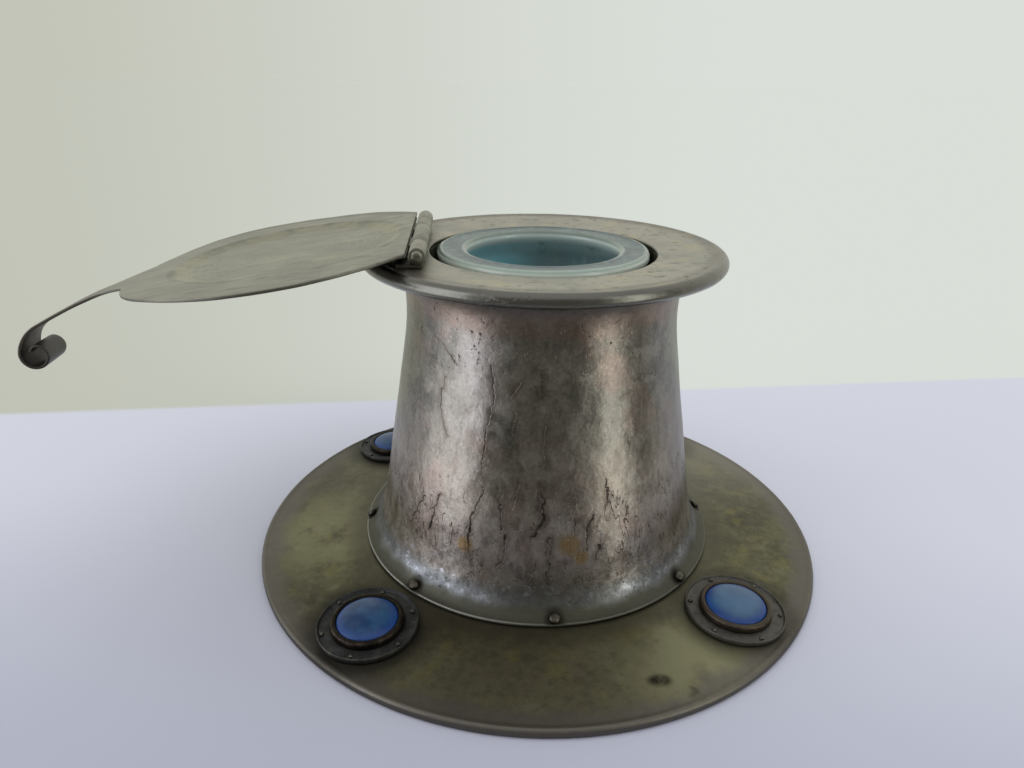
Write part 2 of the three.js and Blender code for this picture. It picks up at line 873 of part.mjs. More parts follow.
function makeBezel() {
  const top = bezel_bottom + bezel_height;
  return turnedRing(
    [
      [bezel_inner_radius, bezel_bottom],
      [bezel_outer_radius, bezel_bottom],
      [bezel_outer_radius, top - bezel_lip_height],
      [bezel_outer_radius - bezel_wall / 3, top],
      [bezel_inner_radius, top],
      [bezel_inner_radius - bezel_lip, top - bezel_lip_height / 2],
      [bezel_inner_radius, top - bezel_lip_height],
    ],
    roundel_sides,
  );
}

function makeStone() {
  const girdle = bezel_inner_radius - solder_gap;
  const shoulder = bezel_bottom + stone_girdle_height;
  const top = bezel_bottom + stone_height;
  const lip_radius = bezel_inner_radius - bezel_lip - solder_gap;
  const dome = new THREE.CubicBezierCurve(
    new THREE.Vector2(lip_radius, bezel_bottom + bezel_height - bezel_lip_height),
    new THREE.Vector2(lip_radius, (shoulder + top) / 2),
    new THREE.Vector2(lip_radius / 2, top),
    new THREE.Vector2(0, top),
  );
  return turned(
    [
      [0, bezel_bottom],
      [girdle, bezel_bottom],
      [girdle, shoulder],
      ...curvePoints(dome, stone_steps),
    ],
    roundel_sides,
  );
}

// The assembly
const inkstand = new THREE.Group();
inkstand.add(piece("base_plate", makeBasePlate(), plate_metal));
inkstand.add(piece("body_shell", makeBodyShell(), body_metal));
inkstand.add(piece("collar", makeCollar(), collar_metal));
inkstand.add(piece("liner_well", makeLinerWell(), dark_metal));
inkstand.add(piece("liner", makeLiner(), glaze));

around(rivet_count, (azimuth, i) => {
  inkstand.add(piece(`flange_rivet_${i + 1}`, onFoot(makeRivet(), azimuth), body_metal));
});

roundel_azimuths.forEach((azimuth, i) => {
  const turn = new THREE.Group();
  turn.rotation.z = azimuth * degree;
  const seat = new THREE.Group();
  seat.position.set(roundel_circle_radius, 0, roundel_seat_height);
  seat.rotation.y = plate_fall;
  const name = `roundel_${i + 1}`;
  seat.add(piece(`${name}_plate`, makeRoundelPlate(), plate_metal));
  seat.add(piece(`${name}_bezel`, makeBezel(), bezel_metal));
  seat.add(piece(`${name}_stone`, makeStone(), stone_blue));
  roundelPlaces(makeRoundelPin()).forEach((pin, k) => {
    seat.add(piece(`${name}_pin_${k + 1}`, pin, dark_metal));
  });
  turn.add(seat);
  inkstand.add(turn);
});

const hinge = new THREE.Group();
hinge.position.set(hinge_axis_x, 0, hinge_axis_height);
hinge.add(piece("collar_hinge_leaf", makeCollarLeaf(), dark_metal));
hinge.add(piece("hinge_pin", makeHingePin(), dark_metal));
const lid_frame = new THREE.Group();
lid_frame.rotation.y = -lid_slope;
lid_frame.add(piece("lid_hinge_leaf", makeLidLeaf(), dark_metal));
lid_frame.add(piece("lid", makeLid(), lid_metal));
hinge.add(lid_frame);
inkstand.add(hinge);

export default inkstand;
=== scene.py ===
import math

import bmesh
import bpy
import numpy as np
from mathutils import Matrix, Vector, noise


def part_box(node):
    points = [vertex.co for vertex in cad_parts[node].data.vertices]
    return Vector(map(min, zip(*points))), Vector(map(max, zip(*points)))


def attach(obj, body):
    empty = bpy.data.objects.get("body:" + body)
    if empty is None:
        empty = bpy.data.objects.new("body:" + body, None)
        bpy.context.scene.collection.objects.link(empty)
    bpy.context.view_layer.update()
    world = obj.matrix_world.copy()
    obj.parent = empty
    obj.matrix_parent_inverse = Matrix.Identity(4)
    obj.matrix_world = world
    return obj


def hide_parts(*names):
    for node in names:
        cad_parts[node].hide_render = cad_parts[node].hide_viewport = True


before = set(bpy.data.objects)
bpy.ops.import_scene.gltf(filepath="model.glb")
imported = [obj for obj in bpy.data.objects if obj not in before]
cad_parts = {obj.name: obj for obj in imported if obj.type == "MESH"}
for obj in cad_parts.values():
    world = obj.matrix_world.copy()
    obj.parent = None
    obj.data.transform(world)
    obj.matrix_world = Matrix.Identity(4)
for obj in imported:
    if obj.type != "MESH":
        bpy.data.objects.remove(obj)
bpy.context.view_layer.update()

# Lengths in this script are millimetres, unless a comment says metres.
MM = 0.001
TURN = 2 * math.pi


# Shader wires
class Wire:
    """One output in a finish's node tree. Sums and products of wires add their Math nodes."""

    def __init__(self, tree, socket=None):
        self.tree = tree
        self.socket = socket

    def node(self, kind, settings=None, sockets=None, output=0):
        made = self.tree.nodes.new("ShaderNode" + kind)
        for name, value in (settings or {}).items():
            setattr(made, name, value)
        for name, value in (sockets or {}).items():
            if isinstance(value, Wire):
                self.tree.links.new(value.socket, made.inputs[name])
            else:
                made.inputs[name].default_value = value
        return Wire(self.tree, made.outputs[output] if len(made.outputs) else None)

    def sum_of(self, operation, *values):
        return self.node("Math", {"operation": operation}, dict(enumerate(values)))

    def __add__(self, other):
        return self.sum_of("ADD", self, other)

    def __radd__(self, other):
        return self.sum_of("ADD", other, self)

    def __sub__(self, other):
        return self.sum_of("SUBTRACT", self, other)

    def __rsub__(self, other):
        return self.sum_of("SUBTRACT", other, self)

    def __mul__(self, other):
        return self.sum_of("MULTIPLY", self, other)

    def __rmul__(self, other):
        return self.sum_of("MULTIPLY", other, self)

    def __truediv__(self, other):
        return self.sum_of("DIVIDE", self, other)

    def __pow__(self, other):
        return self.sum_of("POWER", self, other)

    def __abs__(self):
        return self.sum_of("ABSOLUTE", self)

    def most(self, other):
        return self.sum_of("MAXIMUM", self, other)

    def least(self, other):
        return self.sum_of("MINIMUM", self, other)

    def beyond(self, other):
        """The length of the two as sides of a right angle."""
        return (self * self + other * other) ** 0.5

    def ease(self, low, high):
        """0 up to low, 1 from high, and smooth between. It falls where low is the larger."""
        sockets = {"Value": self, "From Min": low, "From Max": high}
        return self.node("MapRange", {"interpolation_type": "SMOOTHSTEP"}, sockets)

    def run(self, low, high, start, end):
        """A straight run from start at low to end at high, and level beyond."""
        sockets = {"Value": self, "From Min": low, "From Max": high, "To Min": start, "To Max": end}
        return self.node("MapRange", None, sockets)

    def part(self, axis):
        return self.node("SeparateXYZ", None, {0: self}, axis)

    def stretched(self, x, y, z):
        return self.node("VectorMath", {"operation": "MULTIPLY"}, {0: self, 1: (x, y, z)})

    def moved(self, other):
        return self.node("VectorMath", {"operation": "ADD"}, {0: self, 1: other})

    def scaled(self, amount):
        return self.node("VectorMath", {"operation": "SCALE"}, {0: self, "Scale": amount})

    def mottle(self, size, detail=3.0, rough=0.5, output=0):
        """Cloudy noise, about 0.5 on average, whose patches are about size across."""
        sockets = {"Vector": self, "Scale": 1 / size, "Detail": detail, "Roughness": rough}
        return self.node("TexNoise", None, sockets, output)

    def cells(self, size, feature="F1", output=0):
        sockets = {"Vector": self, "Scale": 1 / size}
        return self.node("TexVoronoi", {"feature": feature}, sockets, output)

    def tint(self, over, under):
        """The colour over where this wire is 1, and under where it is 0."""
        return self.node("Mix", {"data_type": "RGBA"}, {0: self, 6: under, 7: over}, 2)

    def coated(self, where, red, green, blue):
        """This colour under a coat of another, which lies where that wire is 1."""
        return where.tint(paint(red, green, blue), self)

    def bump(self, height):
        """A normal for a height in millimetres."""
        return self.node("Bump", None, {"Strength": 1.0, "Distance": MM, "Height": height})


def paint(red, green, blue):
    """A colour as it looks on screen, 0 to 255, as the shaders want it."""
    def line(value):
        share = value / 255
        return share / 12.92 if share <= 0.04045 else ((share + 0.055) / 1.055) ** 2.4

    return (line(red), line(green), line(blue), 1.0)


def nodes_of(owner):
    """The emptied node tree of a material or a world, as a wire to start from."""
    owner.use_nodes = True
    owner.node_tree.nodes.clear()
    return Wire(owner.node_tree)


def finish(name, recipe):
    """A material from a recipe, which gets places on the piece itself and spots in the part's frame."""
    material = bpy.data.materials.new(name)
    start = nodes_of(material)
    place = start.node("Attribute", {"attribute_name": "place"}, None, "Vector")
    spot = start.node("TexCoord", None, None, "Object").scaled(1 / MM)
    shader = start.node("BsdfPrincipled", None, recipe(place, spot))
    start.node("OutputMaterial", None, {"Surface": shader})
    return material


def metal(colour, roughness, height, worn=1.0):
    return {
        "Base Color": colour,
        "Metallic": worn,
        "Roughness": roughness,
        "Normal": roughness.bump(height),
    }


# Finishes
RIVET_CIRCLE = 54.9
RIVET_COUNT = 8
ROUNDEL_CIRCLE = 72.5
ROUNDEL_AZIMUTHS = (45, 135, 226, 315)
STAINS = ((-23.9, -42.2, 21.5, 3.2), (4.3, -47.9, 24.5, 4.2), (7.5, -47.4, 20.5, 3.0))

# The long fissures of the body's front, as places round the wall at this radius and up it
WALL_RADIUS = 45.0
FISSURES = (
    ((-89.6, 72.6), (-87.6, 63.4), (-90.3, 53.1), (-90.7, 47.9), (-89.7, 41.4)),
    ((-89.7, 39.2), (-92.7, 29.4), (-93.2, 17.7)),
    ((-86.5, 37.6), (-84.2, 35.1), (-84.5, 27.9)),
    ((-83.0, 26.9), (-83.3, 20.8), (-84.9, 17.2)),
    ((-74.1, 42.3), (-73.5, 30.8), (-76.3, 26.8)),
    ((-72.0, 26.9), (-71.8, 21.0), (-72.0, 13.0)),
    ((-73.2, 57.8), (-73.6, 50.4), (-72.4, 46.0)),
    ((-80.7, 69.3), (-83.4, 64.4)),
    ((-81.8, 60.9), (-82.4, 56.0)),
    ((-108.3, 30.9), (-111.6, 25.3), (-113.5, 20.2)),
    ((-102.6, 33.6), (-104.5, 28.8), (-105.4, 22.0)),
    ((-105.2, 66.8), (-106.0, 58.2), (-102.7, 50.8)),
    ((-60.3, 32.3), (-62.2, 28.7), (-62.5, 22.2)),
    ((-65.2, 31.7), (-64.9, 27.1)),
    ((-56.3, 41.9), (-56.4, 34.1)),
    ((-59.1, 23.5), (-59.2, 18.9)),
    ((-79.6, 42.0), (-81.3, 36.8)),
    ((-110.3, 76.8), (-106.3, 75.0), (-101.8, 71.3)),
)


def from_fissure(spot):
    """Distance on the wall from the nearest long fissure, whose line wanders."""
    height = spot.part("Z")
    y = spot.part("Y")
    wander = spot.mottle(3.6, 2, 0.6) * 3.4 + spot.mottle(1.1, 2, 0.6) * 0.9
    around = y.sum_of("ARCTAN2", y, spot.part("X")) * WALL_RADIUS + wander - 2.15
    nearest = None
    for line in FISSURES:
        for (high_side, high), (low_side, low) in zip(line, line[1:]):
            half = (high - low) / 2
            aside = abs(around - height.run(low, high, low_side, high_side))
            past_end = abs(height - (high + low) / 2).run(half, half + 9, 0, 12)
            distance = aside + past_end
            nearest = distance if nearest is None else nearest.least(distance)
    return nearest


def from_rivet(spot):
    """Distance along the foot from the nearest rivet."""
    x, y = spot.part("X"), spot.part("Y")
    step = TURN / RIVET_COUNT
    angle = y.sum_of("ARCTAN2", y, x)
    nearest = angle.sum_of("ROUND", angle / step) * step
    along = (angle - nearest) * RIVET_CIRCLE
    return along.beyond(x.beyond(y) - RIVET_CIRCLE)


def from_roundel(spot):
    """Distance on the plate from the nearest roundel's centre."""
    x, y = spot.part("X"), spot.part("Y")
    nearest = None
    for azimuth in ROUNDEL_AZIMUTHS:
        turn = math.radians(azimuth)
        centre = (ROUNDEL_CIRCLE * math.cos(turn), ROUNDEL_CIRCLE * math.sin(turn))
        distance = (x - centre[0]).beyond(y - centre[1])
        nearest = distance if nearest is None else nearest.least(distance)
    return nearest


def lighter_right_front(spot):
    """1 over the right front of the base, where its colour is made lighter."""
    return spot.part("X").ease(10, 50) * spot.part("Y").ease(0, -20)


def body_recipe(place, spot):
    height = spot.part("Z")
    radius = spot.part("X").beyond(spot.part("Y"))
    cloud = spot.mottle(17, 4, 0.55)
    patch = spot.moved((40, 7, 3)).mottle(8, 4, 0.6)
    grain = spot.mottle(0.9, 3, 0.6)
    drawn = spot.stretched(1, 1, 0.14).mottle(1.7, 4, 0.65)
    blot = spot.moved((3, 60, 90)).stretched(1, 1, 0.6).mottle(5, 4, 0.65)

    # Long fissures, short upright cracks low on the wall, and pits under the collar and on the foot
    off = from_fissure(spot)
    upper_wall = height.ease(34, 46)
    fissure = (off + (0.6 - patch) * 0.8 + upper_wall * 0.1).ease(0.46, 0.12) * (1 - upper_wall * 0.3)
    low_wall = height.ease(58, 30) * height.ease(9, 14)
    contour = abs(spot.stretched(1, 1, 0.24).mottle(4.6, 3, 0.6) - 0.5)
    crack = contour.ease(0.011, 0.002) * (blot * 1.1 + low_wall * 0.5 - 0.5).ease(0.42, 0.6) * low_wall
    pits = spot.stretched(1, 1, 0.6).mottle(1.5, 3, 0.7).ease(0.61, 0.68)
    pits = pits * height.ease(62, 78) * height.ease(93, 88) * patch.ease(0.45, 0.58)
    foot_pits = spot.mottle(1.7, 4, 0.7).ease(0.6, 0.7) * height.ease(20, 11) * height.ease(5.5, 8)
    dark = (fissure * (patch * 1.1 + 0.3)).most(crack * 0.8).most(pits * 0.75).most(foot_pits * 0.5)

    colour = cloud.ease(0.42, 0.6).tint(paint(136, 131, 122), paint(122, 119, 111))
    low = height.ease(60, 32) * height.ease(9, 14)
    colour = colour.coated(low * (0.35 + patch * 0.7), 170, 158, 146)
    colour = colour.coated(patch.ease(0.54, 0.7) * 0.6, 102, 97, 89)
    streaky = spot.moved((71, 0, 8)).stretched(1, 1, 0.45).mottle(3.2, 5, 0.7)
    # Painted highlight: a pale upright stripe on the wall's front left.
    painted_streak_highlight = abs(spot.part("X") + 18).ease(9, 3) * height.ease(50, 58) * height.ease(84, 76)
    colour = colour.coated(painted_streak_highlight * patch.ease(0.4, 0.55) * 0.5, 186, 178, 174)
    colour = colour.coated(streaky.ease(0.5, 0.34) * 0.5, 92, 87, 80)
    colour = colour.coated(streaky.ease(0.54, 0.7) * 0.4, 168, 163, 154)
    # The hammered skin shows as small islands, each a little lighter or darker than the next
    islands = spot.moved(spot.mottle(4, 5, 0.7, 1).scaled(6)).cells(4.2, "F1", 1)
    island = islands.part("X")
    colour = colour.coated(island.ease(0.4, 1) * 0.16, 186, 181, 172)
    colour = colour.coated(island.ease(0.6, 0) * 0.16, 80, 76, 70)
    warm = spot.moved((5, 55, 21)).mottle(13, 3, 0.5).ease(0.54, 0.66) * height.ease(10, 20)
    colour = colour.coated(warm * 0.45, 146, 126, 117)
    colour = colour.coated(drawn.ease(0.56, 0.72) * 0.22, 176, 171, 163)
    colour = colour.coated(drawn.ease(0.46, 0.3) * 0.2, 88, 84, 77)
    colour = colour.coated(grain.ease(0.52, 0.7) * 0.22, 186, 182, 174)
    colour = colour.coated(grain.ease(0.48, 0.32) * 0.22, 84, 80, 74)
    brown = blot.ease(0.5, 0.62) * low_wall
    colour = colour.coated(brown * 0.45, 104, 88, 76)
    # Painted reflection: the foot is tinted bluish, as the windows reflected in it.
    foot = height.ease(14, 8)
    colour = colour.coated(foot * 0.7, 126, 130, 136)
    # The worn foot band has dark scuff marks, and pale painted glints among them.
    worn = height.ease(19, 13) * height.ease(6.5, 9)
    scuffs_and_glints = spot.moved((2, 9, 40)).mottle(3.4, 5, 0.75)
    colour = colour.coated(scuffs_and_glints.ease(0.52, 0.66) * worn * 0.6, 74, 72, 68)
    colour = colour.coated(scuffs_and_glints.ease(0.46, 0.34) * worn * 0.6, 196, 200, 206)
    # Painted shade: the front middle of the foot is darkened, where it mirrors the dark room.
    middle = abs(spot.part("X") - 4).ease(26, 6) * spot.part("Y").ease(-30, -44)
    colour = colour.coated(height.ease(21, 13) * middle * 0.55, 80, 77, 71)
    olive = (height + patch * 4).ease(10.8, 8)
    colour = colour.coated(olive * 0.85, 80, 79, 64)
    flush = (height + patch * 9).ease(83, 87) * height.ease(89, 86)
    colour = colour.coated(flush * 0.4, 146, 120, 109)
    # Painted shade down the right edge of the wall.
    shaded_right_edge = spot.part("X").ease(28, 42) * height.ease(14, 24)
    colour = colour.coated(shaded_right_edge * 0.4, 96, 92, 86)
    # Painted shade: a dark band under the collar.
    colour = colour.coated(height.ease(84, 89) * 0.7, 88, 83, 76)
    for x, y, z, size in STAINS:
        ragged = spot.mottle(2.2, 3, 0.6, 1).scaled(2.4)
        offset = ragged.moved(spot).moved((-x - 1.2, -y - 1.2, -z - 1.2))
        near = offset.node("VectorMath", {"operation": "LENGTH"}, {0: offset}, "Value")
        colour = colour.coated(near.ease(size, size * 0.45) * 0.62, 146, 116, 56)
    # Painted shade in the shallow hollow round each rivet's head.
    rivet_hollow_shade = from_rivet(spot).ease(3.6, 1.8) * height.ease(9, 7.5)
    colour = colour.coated(rivet_hollow_shade * 0.6, 52, 49, 42)
    # Painted highlight: a pale line along the foot's rim, strongest at the front left.
    rim = radius.ease(55.6, 56.1) * (spot.part("X").ease(10, -30) * 0.6 + 0.2)
    colour = colour.coated(rim, 176, 176, 168)
    colour = colour.coated(off.ease(1.9, 0.2) * 0.4, 88, 74, 64)
    colour = colour.coated(dark * 0.92, 36, 30, 26)
    inside = height.ease(4.2, 3.9)
    colour = colour.coated(inside, 64, 60, 54)

    roughness = 0.08 + cloud * 0.1 + blot * 0.1 + streaky * 0.22 + grain * 0.04 + island * 0.05
    roughness = roughness + dark * 0.35 + olive * 0.22 + rivet_hollow_shade * 0.2
    roughness = roughness + scuffs_and_glints.ease(0.44, 0.62) * worn * 0.2
    facets = spot.moved(spot.mottle(9, 2, 0.5, 1).scaled(4)).cells(5.5, "SMOOTH_F1")
    relief = facets * facets * 0.12 + grain * 0.02 + drawn * 0.01 + patch * 0.08
    relief = relief - dark * 0.09 + spot.mottle(2.8, 3, 0.6) * 0.1
    return metal(colour, roughness, relief, 1 - dark * 0.25)


def plate_recipe(place, spot):
    x, y, height = spot.part("X"), spot.part("Y"), spot.part("Z")
    radius = x.beyond(y)
    cloud = spot.mottle(30, 4, 0.55)
    patch = spot.moved((70, 20, 0)).mottle(11, 4, 0.6)
    grain = spot.mottle(1.1, 4, 0.65)
    speckle = spot.moved((4, 44, 0)).mottle(2.6, 4, 0.7)
    colour = cloud.ease(0.38, 0.62).tint(paint(110, 108, 82), paint(94, 91, 72))
    toward_front = y.ease(-40, -72)
    colour = colour.coated(toward_front * 0.55, 132, 129, 104)
    stipple = spot.moved((0, 31, 4)).mottle(6, 5, 0.7)
    colour = colour.coated(stipple.ease(0.5, 0.36) * (0.4 - toward_front * 0.2), 76, 74, 58)
    colour = colour.coated(stipple.ease(0.54, 0.68) * 0.4, 136, 134, 106)
    colour = colour.coated(speckle.ease(0.5, 0.64) * 0.3, 72, 72, 60)
    colour = colour.coated(speckle.ease(0.48, 0.34) * 0.25, 134, 132, 112)
    # Painted reflections of the windows: lighter patches on the plate at the left and the right front.
    left = (x + 66).beyond(y + 8).ease(34, 8)
    right = (x - 42).beyond(y + 66).ease(34, 8)
    colour = colour.coated((left * 0.5).most(right * 0.85), 150, 148, 116)
    colour = colour.coated(patch.ease(0.52, 0.7) * (0.6 - toward_front * 0.35), 76, 71, 58)
    gold = spot.moved((9, 3, 0)).mottle(9, 4, 0.65).ease(0.54, 0.68)
    colour = colour.coated(gold * 0.45, 136, 130, 84)
    front = (y * -1 - x * 0.3).ease(20, 85)
    band = (radius + patch * 9 - front).ease(84, 90)
    colour = colour.coated(band * (0.5 + speckle * 0.6), 112, 107, 102)
    near_stone = (from_roundel(spot) + patch * 7).ease(25.5, 17.5)
    colour = colour.coated(near_stone * (0.82 - lighter_right_front(spot) * 0.3), 58, 55, 49)
    near_body = (radius - patch * 6).ease(63, 54.5)
    colour = colour.coated(near_body * 0.7, 92, 88, 72)
    back = y.ease(-10, 45) * 0.5
    colour = back.tint(x.ease(-20, 50).tint(paint(150, 146, 134), paint(90, 88, 76)), colour)
    # Spots of tarnish and a few round scratches left by wiping
    spots = speckle.ease(0.68, 0.76) * cloud.ease(0.45, 0.62)
    colour = colour.coated(spots * 0.6, 48, 42, 34)
    blot = (x - 24).beyond((y + 75) * 1.6).ease(4.2, 1.4).most((x - 31).beyond(y + 79).ease(2.6, 0.9))
    colour = colour.coated(blot * patch.ease(0.25, 0.5), 40, 35, 30)
    arcs = (x + 38).beyond(y + 34) * 0.42 + cloud * 2
    thin_arcs = abs(arcs.sum_of("FRACT", arcs) - 0.5).ease(0.035, 0.0)
    scratch = thin_arcs * speckle.ease(0.53, 0.66) * patch.ease(0.45, 0.6)
    colour = colour.coated(scratch * 0.45, 56, 50, 40)
    edge = height.ease(2.05, 1.6)
    colour = colour.coated(edge * 0.5, 74, 69, 66)
    roughness = 0.36 + cloud * 0.12 + grain * 0.08 + near_stone * 0.1 + spots * 0.15
    relief = grain * 0.025 + speckle * 0.03 + patch * 0.12 + cloud * 0.35
    relief = relief - spots * 0.03 - scratch * 0.02 + spot.mottle(5, 2, 0.5) * 0.05
    return metal(colour, roughness, relief, 1 - spots * 0.3)


def collar_recipe(place, spot):
    x, y, height = spot.part("X"), spot.part("Y"), spot.part("Z")
    radius = x.beyond(y)
    cloud = spot.mottle(15, 4, 0.55)
    fleck = spot.stretched(0.6, 1.1, 1).mottle(2.3, 5, 0.75)
    pit = spot.moved((50, 3, 0)).mottle(1.3, 3, 0.65)
    grain = spot.mottle(0.8, 3, 0.6)
    colour = cloud.ease(0.35, 0.65).tint(paint(174, 170, 156), paint(156, 154, 143))
    flecks = fleck.ease(0.56, 0.65) * cloud.ease(0.4, 0.58)
    blotch = spot.moved((7, 30, 0)).mottle(7, 4, 0.65)
    colour = colour.coated(blotch.ease(0.52, 0.68) * 0.4, 190, 180, 142)
    colour = colour.coated(blotch.ease(0.46, 0.32) * 0.45, 120, 121, 110)
    colour = colour.coated(flecks * 0.75, 82, 78, 70)
    pits = pit.ease(0.66, 0.72)
    colour = colour.coated(pits * 0.7, 82, 77, 70)
    # Painted shade on the collar under the hinge leaf.
    by_hinge = x.ease(-27, -41)
    colour = colour.coated(by_hinge * 0.75, 74, 74, 66)
    # Painted shade on the outer band, where the top turns down towards the bead.
    outer = radius.ease(45.6, 48.6)
    colour = colour.coated(outer * 0.45, 118, 112, 104)
    # Painted shade on the rolled bead and the collar's underside.
    bead = radius.ease(50.2, 51.4).most(height.ease(94.0, 93.4))
    colour = colour.coated(bead * 0.85, 114, 113, 106)
    # Painted highlight: a thin pale line low on the bead.
    line = abs(height - 92.35).ease(0.34, 0.1) * radius.ease(51.0, 51.8)
    colour = colour.coated(line * 0.6, 186, 186, 190)
    inner = radius.ease(33.5, 33.1)
    colour = colour.coated(inner * 0.5, 84, 86, 76)
    roughness = 0.36 + cloud * 0.12 + grain * 0.08 + flecks * 0.12 - bead * 0.16
    relief = grain * 0.012 + cloud * 0.2 - flecks * 0.05 - pits * 0.05
    relief = relief + spot.mottle(4, 2, 0.5) * 0.05
    return metal(colour, roughness, relief)


def lid_recipe(place, spot):
    along, side, depth = place.part("X"), place.part("Y"), place.part("Z")
    from_middle = along.beyond(side)
    cloud = place.mottle(19, 4, 0.55)
    drawn = place.stretched(0.16, 1.0, 1).mottle(3.0, 5, 0.7)
    grain = place.mottle(0.8, 3, 0.6)
    warp = place.mottle(14, 2, 0.5) * 7
    ringed = (from_middle + warp) * 0.55
    ring_line = abs(ringed.sum_of("FRACT", ringed) - 0.5).ease(0.16, 0.0)
    colour = cloud.ease(0.36, 0.64).tint(paint(157, 156, 142), paint(142, 142, 129))
    colour = colour.coated(drawn.ease(0.5, 0.7) * 0.6, 108, 107, 95)
    pale = place.moved((4, 70, 0)).stretched(0.4, 1, 1).mottle(8, 4, 0.65)
    colour = colour.coated(pale.ease(0.52, 0.68) * 0.4, 180, 175, 150)
    dish = from_middle.ease(33.5, 31) * from_middle.ease(26, 29.5)
    uneven = place.mottle(9, 3, 0.6)
    colour = colour.coated(dish * uneven.ease(0.35, 0.6) * 0.4, 178, 173, 142)
    ring = from_middle.ease(34.4, 33) * from_middle.ease(30.5, 32.2) * uneven.ease(0.6, 0.4)
    colour = colour.coated(ring * 0.5, 100, 99, 86)
    near_edge = (from_middle + uneven * 4).ease(41, 47) * side.ease(8, 38)
    colour = colour.coated(near_edge * 0.5, 98, 97, 86)
    swept = place.mottle(20, 2, 0.5, 1).scaled(9)
    scratches = place.stretched(0.07, 1, 1).moved(swept).mottle(1.1, 3, 0.6)
    marked = along.ease(2, -30) * place.mottle(7, 3, 0.6).ease(0.42, 0.6)
    colour = colour.coated(scratches.ease(0.56, 0.66) * marked * 0.6, 88, 89, 76)
    colour = colour.coated(scratches.ease(0.44, 0.34) * marked * 0.5, 190, 188, 170)
    rings = ring_line * from_middle.ease(33, 29) * drawn.ease(0.42, 0.62)
    colour = colour.coated(rings * 0.5, 184, 180, 160)
    by_hinge = along.ease(-25, -35) * place.stretched(0.5, 1, 1).mottle(3.4, 4, 0.7).ease(0.5, 0.68)
    colour = colour.coated(by_hinge * 0.35, 98, 96, 84)
    strip = along.ease(47, 62)
    colour = colour.coated(strip * 0.8, 108, 101, 96)
    scroll = along.ease(86, 98)
    colour = colour.coated(scroll * 0.85, 82, 80, 79)
    outer = depth.ease(0.5, 0.95)
    colour = colour.coated(outer * 0.6, 104, 97, 90)
    # Painted shade in the hollow inside the scroll's curl.
    curl_hollow_shade = along.ease(83, 89) * depth.ease(0.4, 0.6)
    colour = colour.coated(curl_hollow_shade * 0.7, 50, 49, 47)
    rim = abs(depth - 0.45).ease(0.42, 0.2)
    colour = colour.coated(rim * 0.55, 92, 86, 80)
    roughness = 0.36 + cloud * 0.12 + drawn * 0.1 + grain * 0.05 - scroll * 0.06
    relief = grain * 0.012 + drawn * 0.035 + cloud * 0.3 + place.mottle(5, 2, 0.5) * 0.06
    relief = relief - rings * 0.01
    return metal(colour, roughness, relief)


def hinge_recipe(place, spot):
    cloud = spot.mottle(6, 4, 0.6)
    drawn = spot.stretched(1, 0.12, 1).mottle(1.4, 4, 0.65)
    grain = spot.mottle(0.6, 3, 0.6)
    colour = cloud.ease(0.35, 0.62).tint(paint(156, 154, 140), paint(122, 120, 108))
    colour = colour.coated(drawn.ease(0.55, 0.72) * 0.6, 84, 80, 70)
    # Painted shade on the lower knuckles and the leaves under the lid.
    low = spot.part("Z").ease(97.6, 96.4)
    colour = colour.coated(low * 0.65, 72, 70, 62)
    roughness = 0.38 + cloud * 0.14 + grain * 0.08
    return metal(colour, roughness, grain * 0.02 + drawn * 0.04 + cloud * 0.1)


def pin_recipe(place, spot):
    cloud = spot.mottle(2.2, 3, 0.6)
    grain = spot.mottle(0.5, 3, 0.6)
    colour = cloud.ease(0.35, 0.65).tint(paint(112, 109, 100), paint(80, 76, 68))
    return metal(colour, 0.34 + cloud * 0.16, grain * 0.02 + cloud * 0.05)


def rivet_recipe(place, spot):
    cloud = spot.mottle(1.6, 4, 0.6)
    grain = spot.mottle(0.5, 3, 0.6)
    crown = place.part("Z").ease(0.5, 1.2)
    colour = crown.tint(paint(98, 95, 85), paint(48, 45, 38))
    colour = colour.coated(cloud.ease(0.5, 0.66) * 0.65, 64, 60, 52)
    return metal(colour, 0.32 + cloud * 0.22, grain * 0.02 + cloud * 0.12)


def roundel_recipe(place, spot):
    x, y, height = place.part("X"), place.part("Y"), place.part("Z")
    radius = x.beyond(y)
    cloud = spot.mottle(5, 4, 0.6)
    grain = spot.mottle(0.7, 4, 0.65)
    colour = cloud.ease(0.35, 0.65).tint(paint(86, 87, 86), paint(68, 69, 69))
    # The raised rim is lighter where it is rubbed, and painted lighter on its outer half as a highlight.
    raised = height.ease(1.45, 1.8) * cloud.ease(0.4, 0.6) * x.ease(0, 9)
    colour = colour.coated(raised * 0.6, 122, 118, 106)
    hollow = (radius + cloud * 1.2).ease(11.6, 10.4)
    colour = colour.coated(hollow * 0.5, 48, 47, 47)
    outer = radius.ease(13.1, 13.8)
    colour = colour.coated(outer * 0.45, 60, 59, 55)
    colour = colour.coated(lighter_right_front(spot) * 0.5, 122, 118, 108)
    crust = spot.moved((6, 6, 0)).mottle(2, 4, 0.7)
    colour = colour.coated(crust.ease(0.52, 0.64) * 0.4, 58, 56, 48)
    colour = colour.coated(crust.ease(0.46, 0.34) * 0.3, 118, 114, 98)
    roughness = 0.46 + cloud * 0.16 + grain * 0.08
    return metal(colour, roughness, grain * 0.03 + cloud * 0.14)


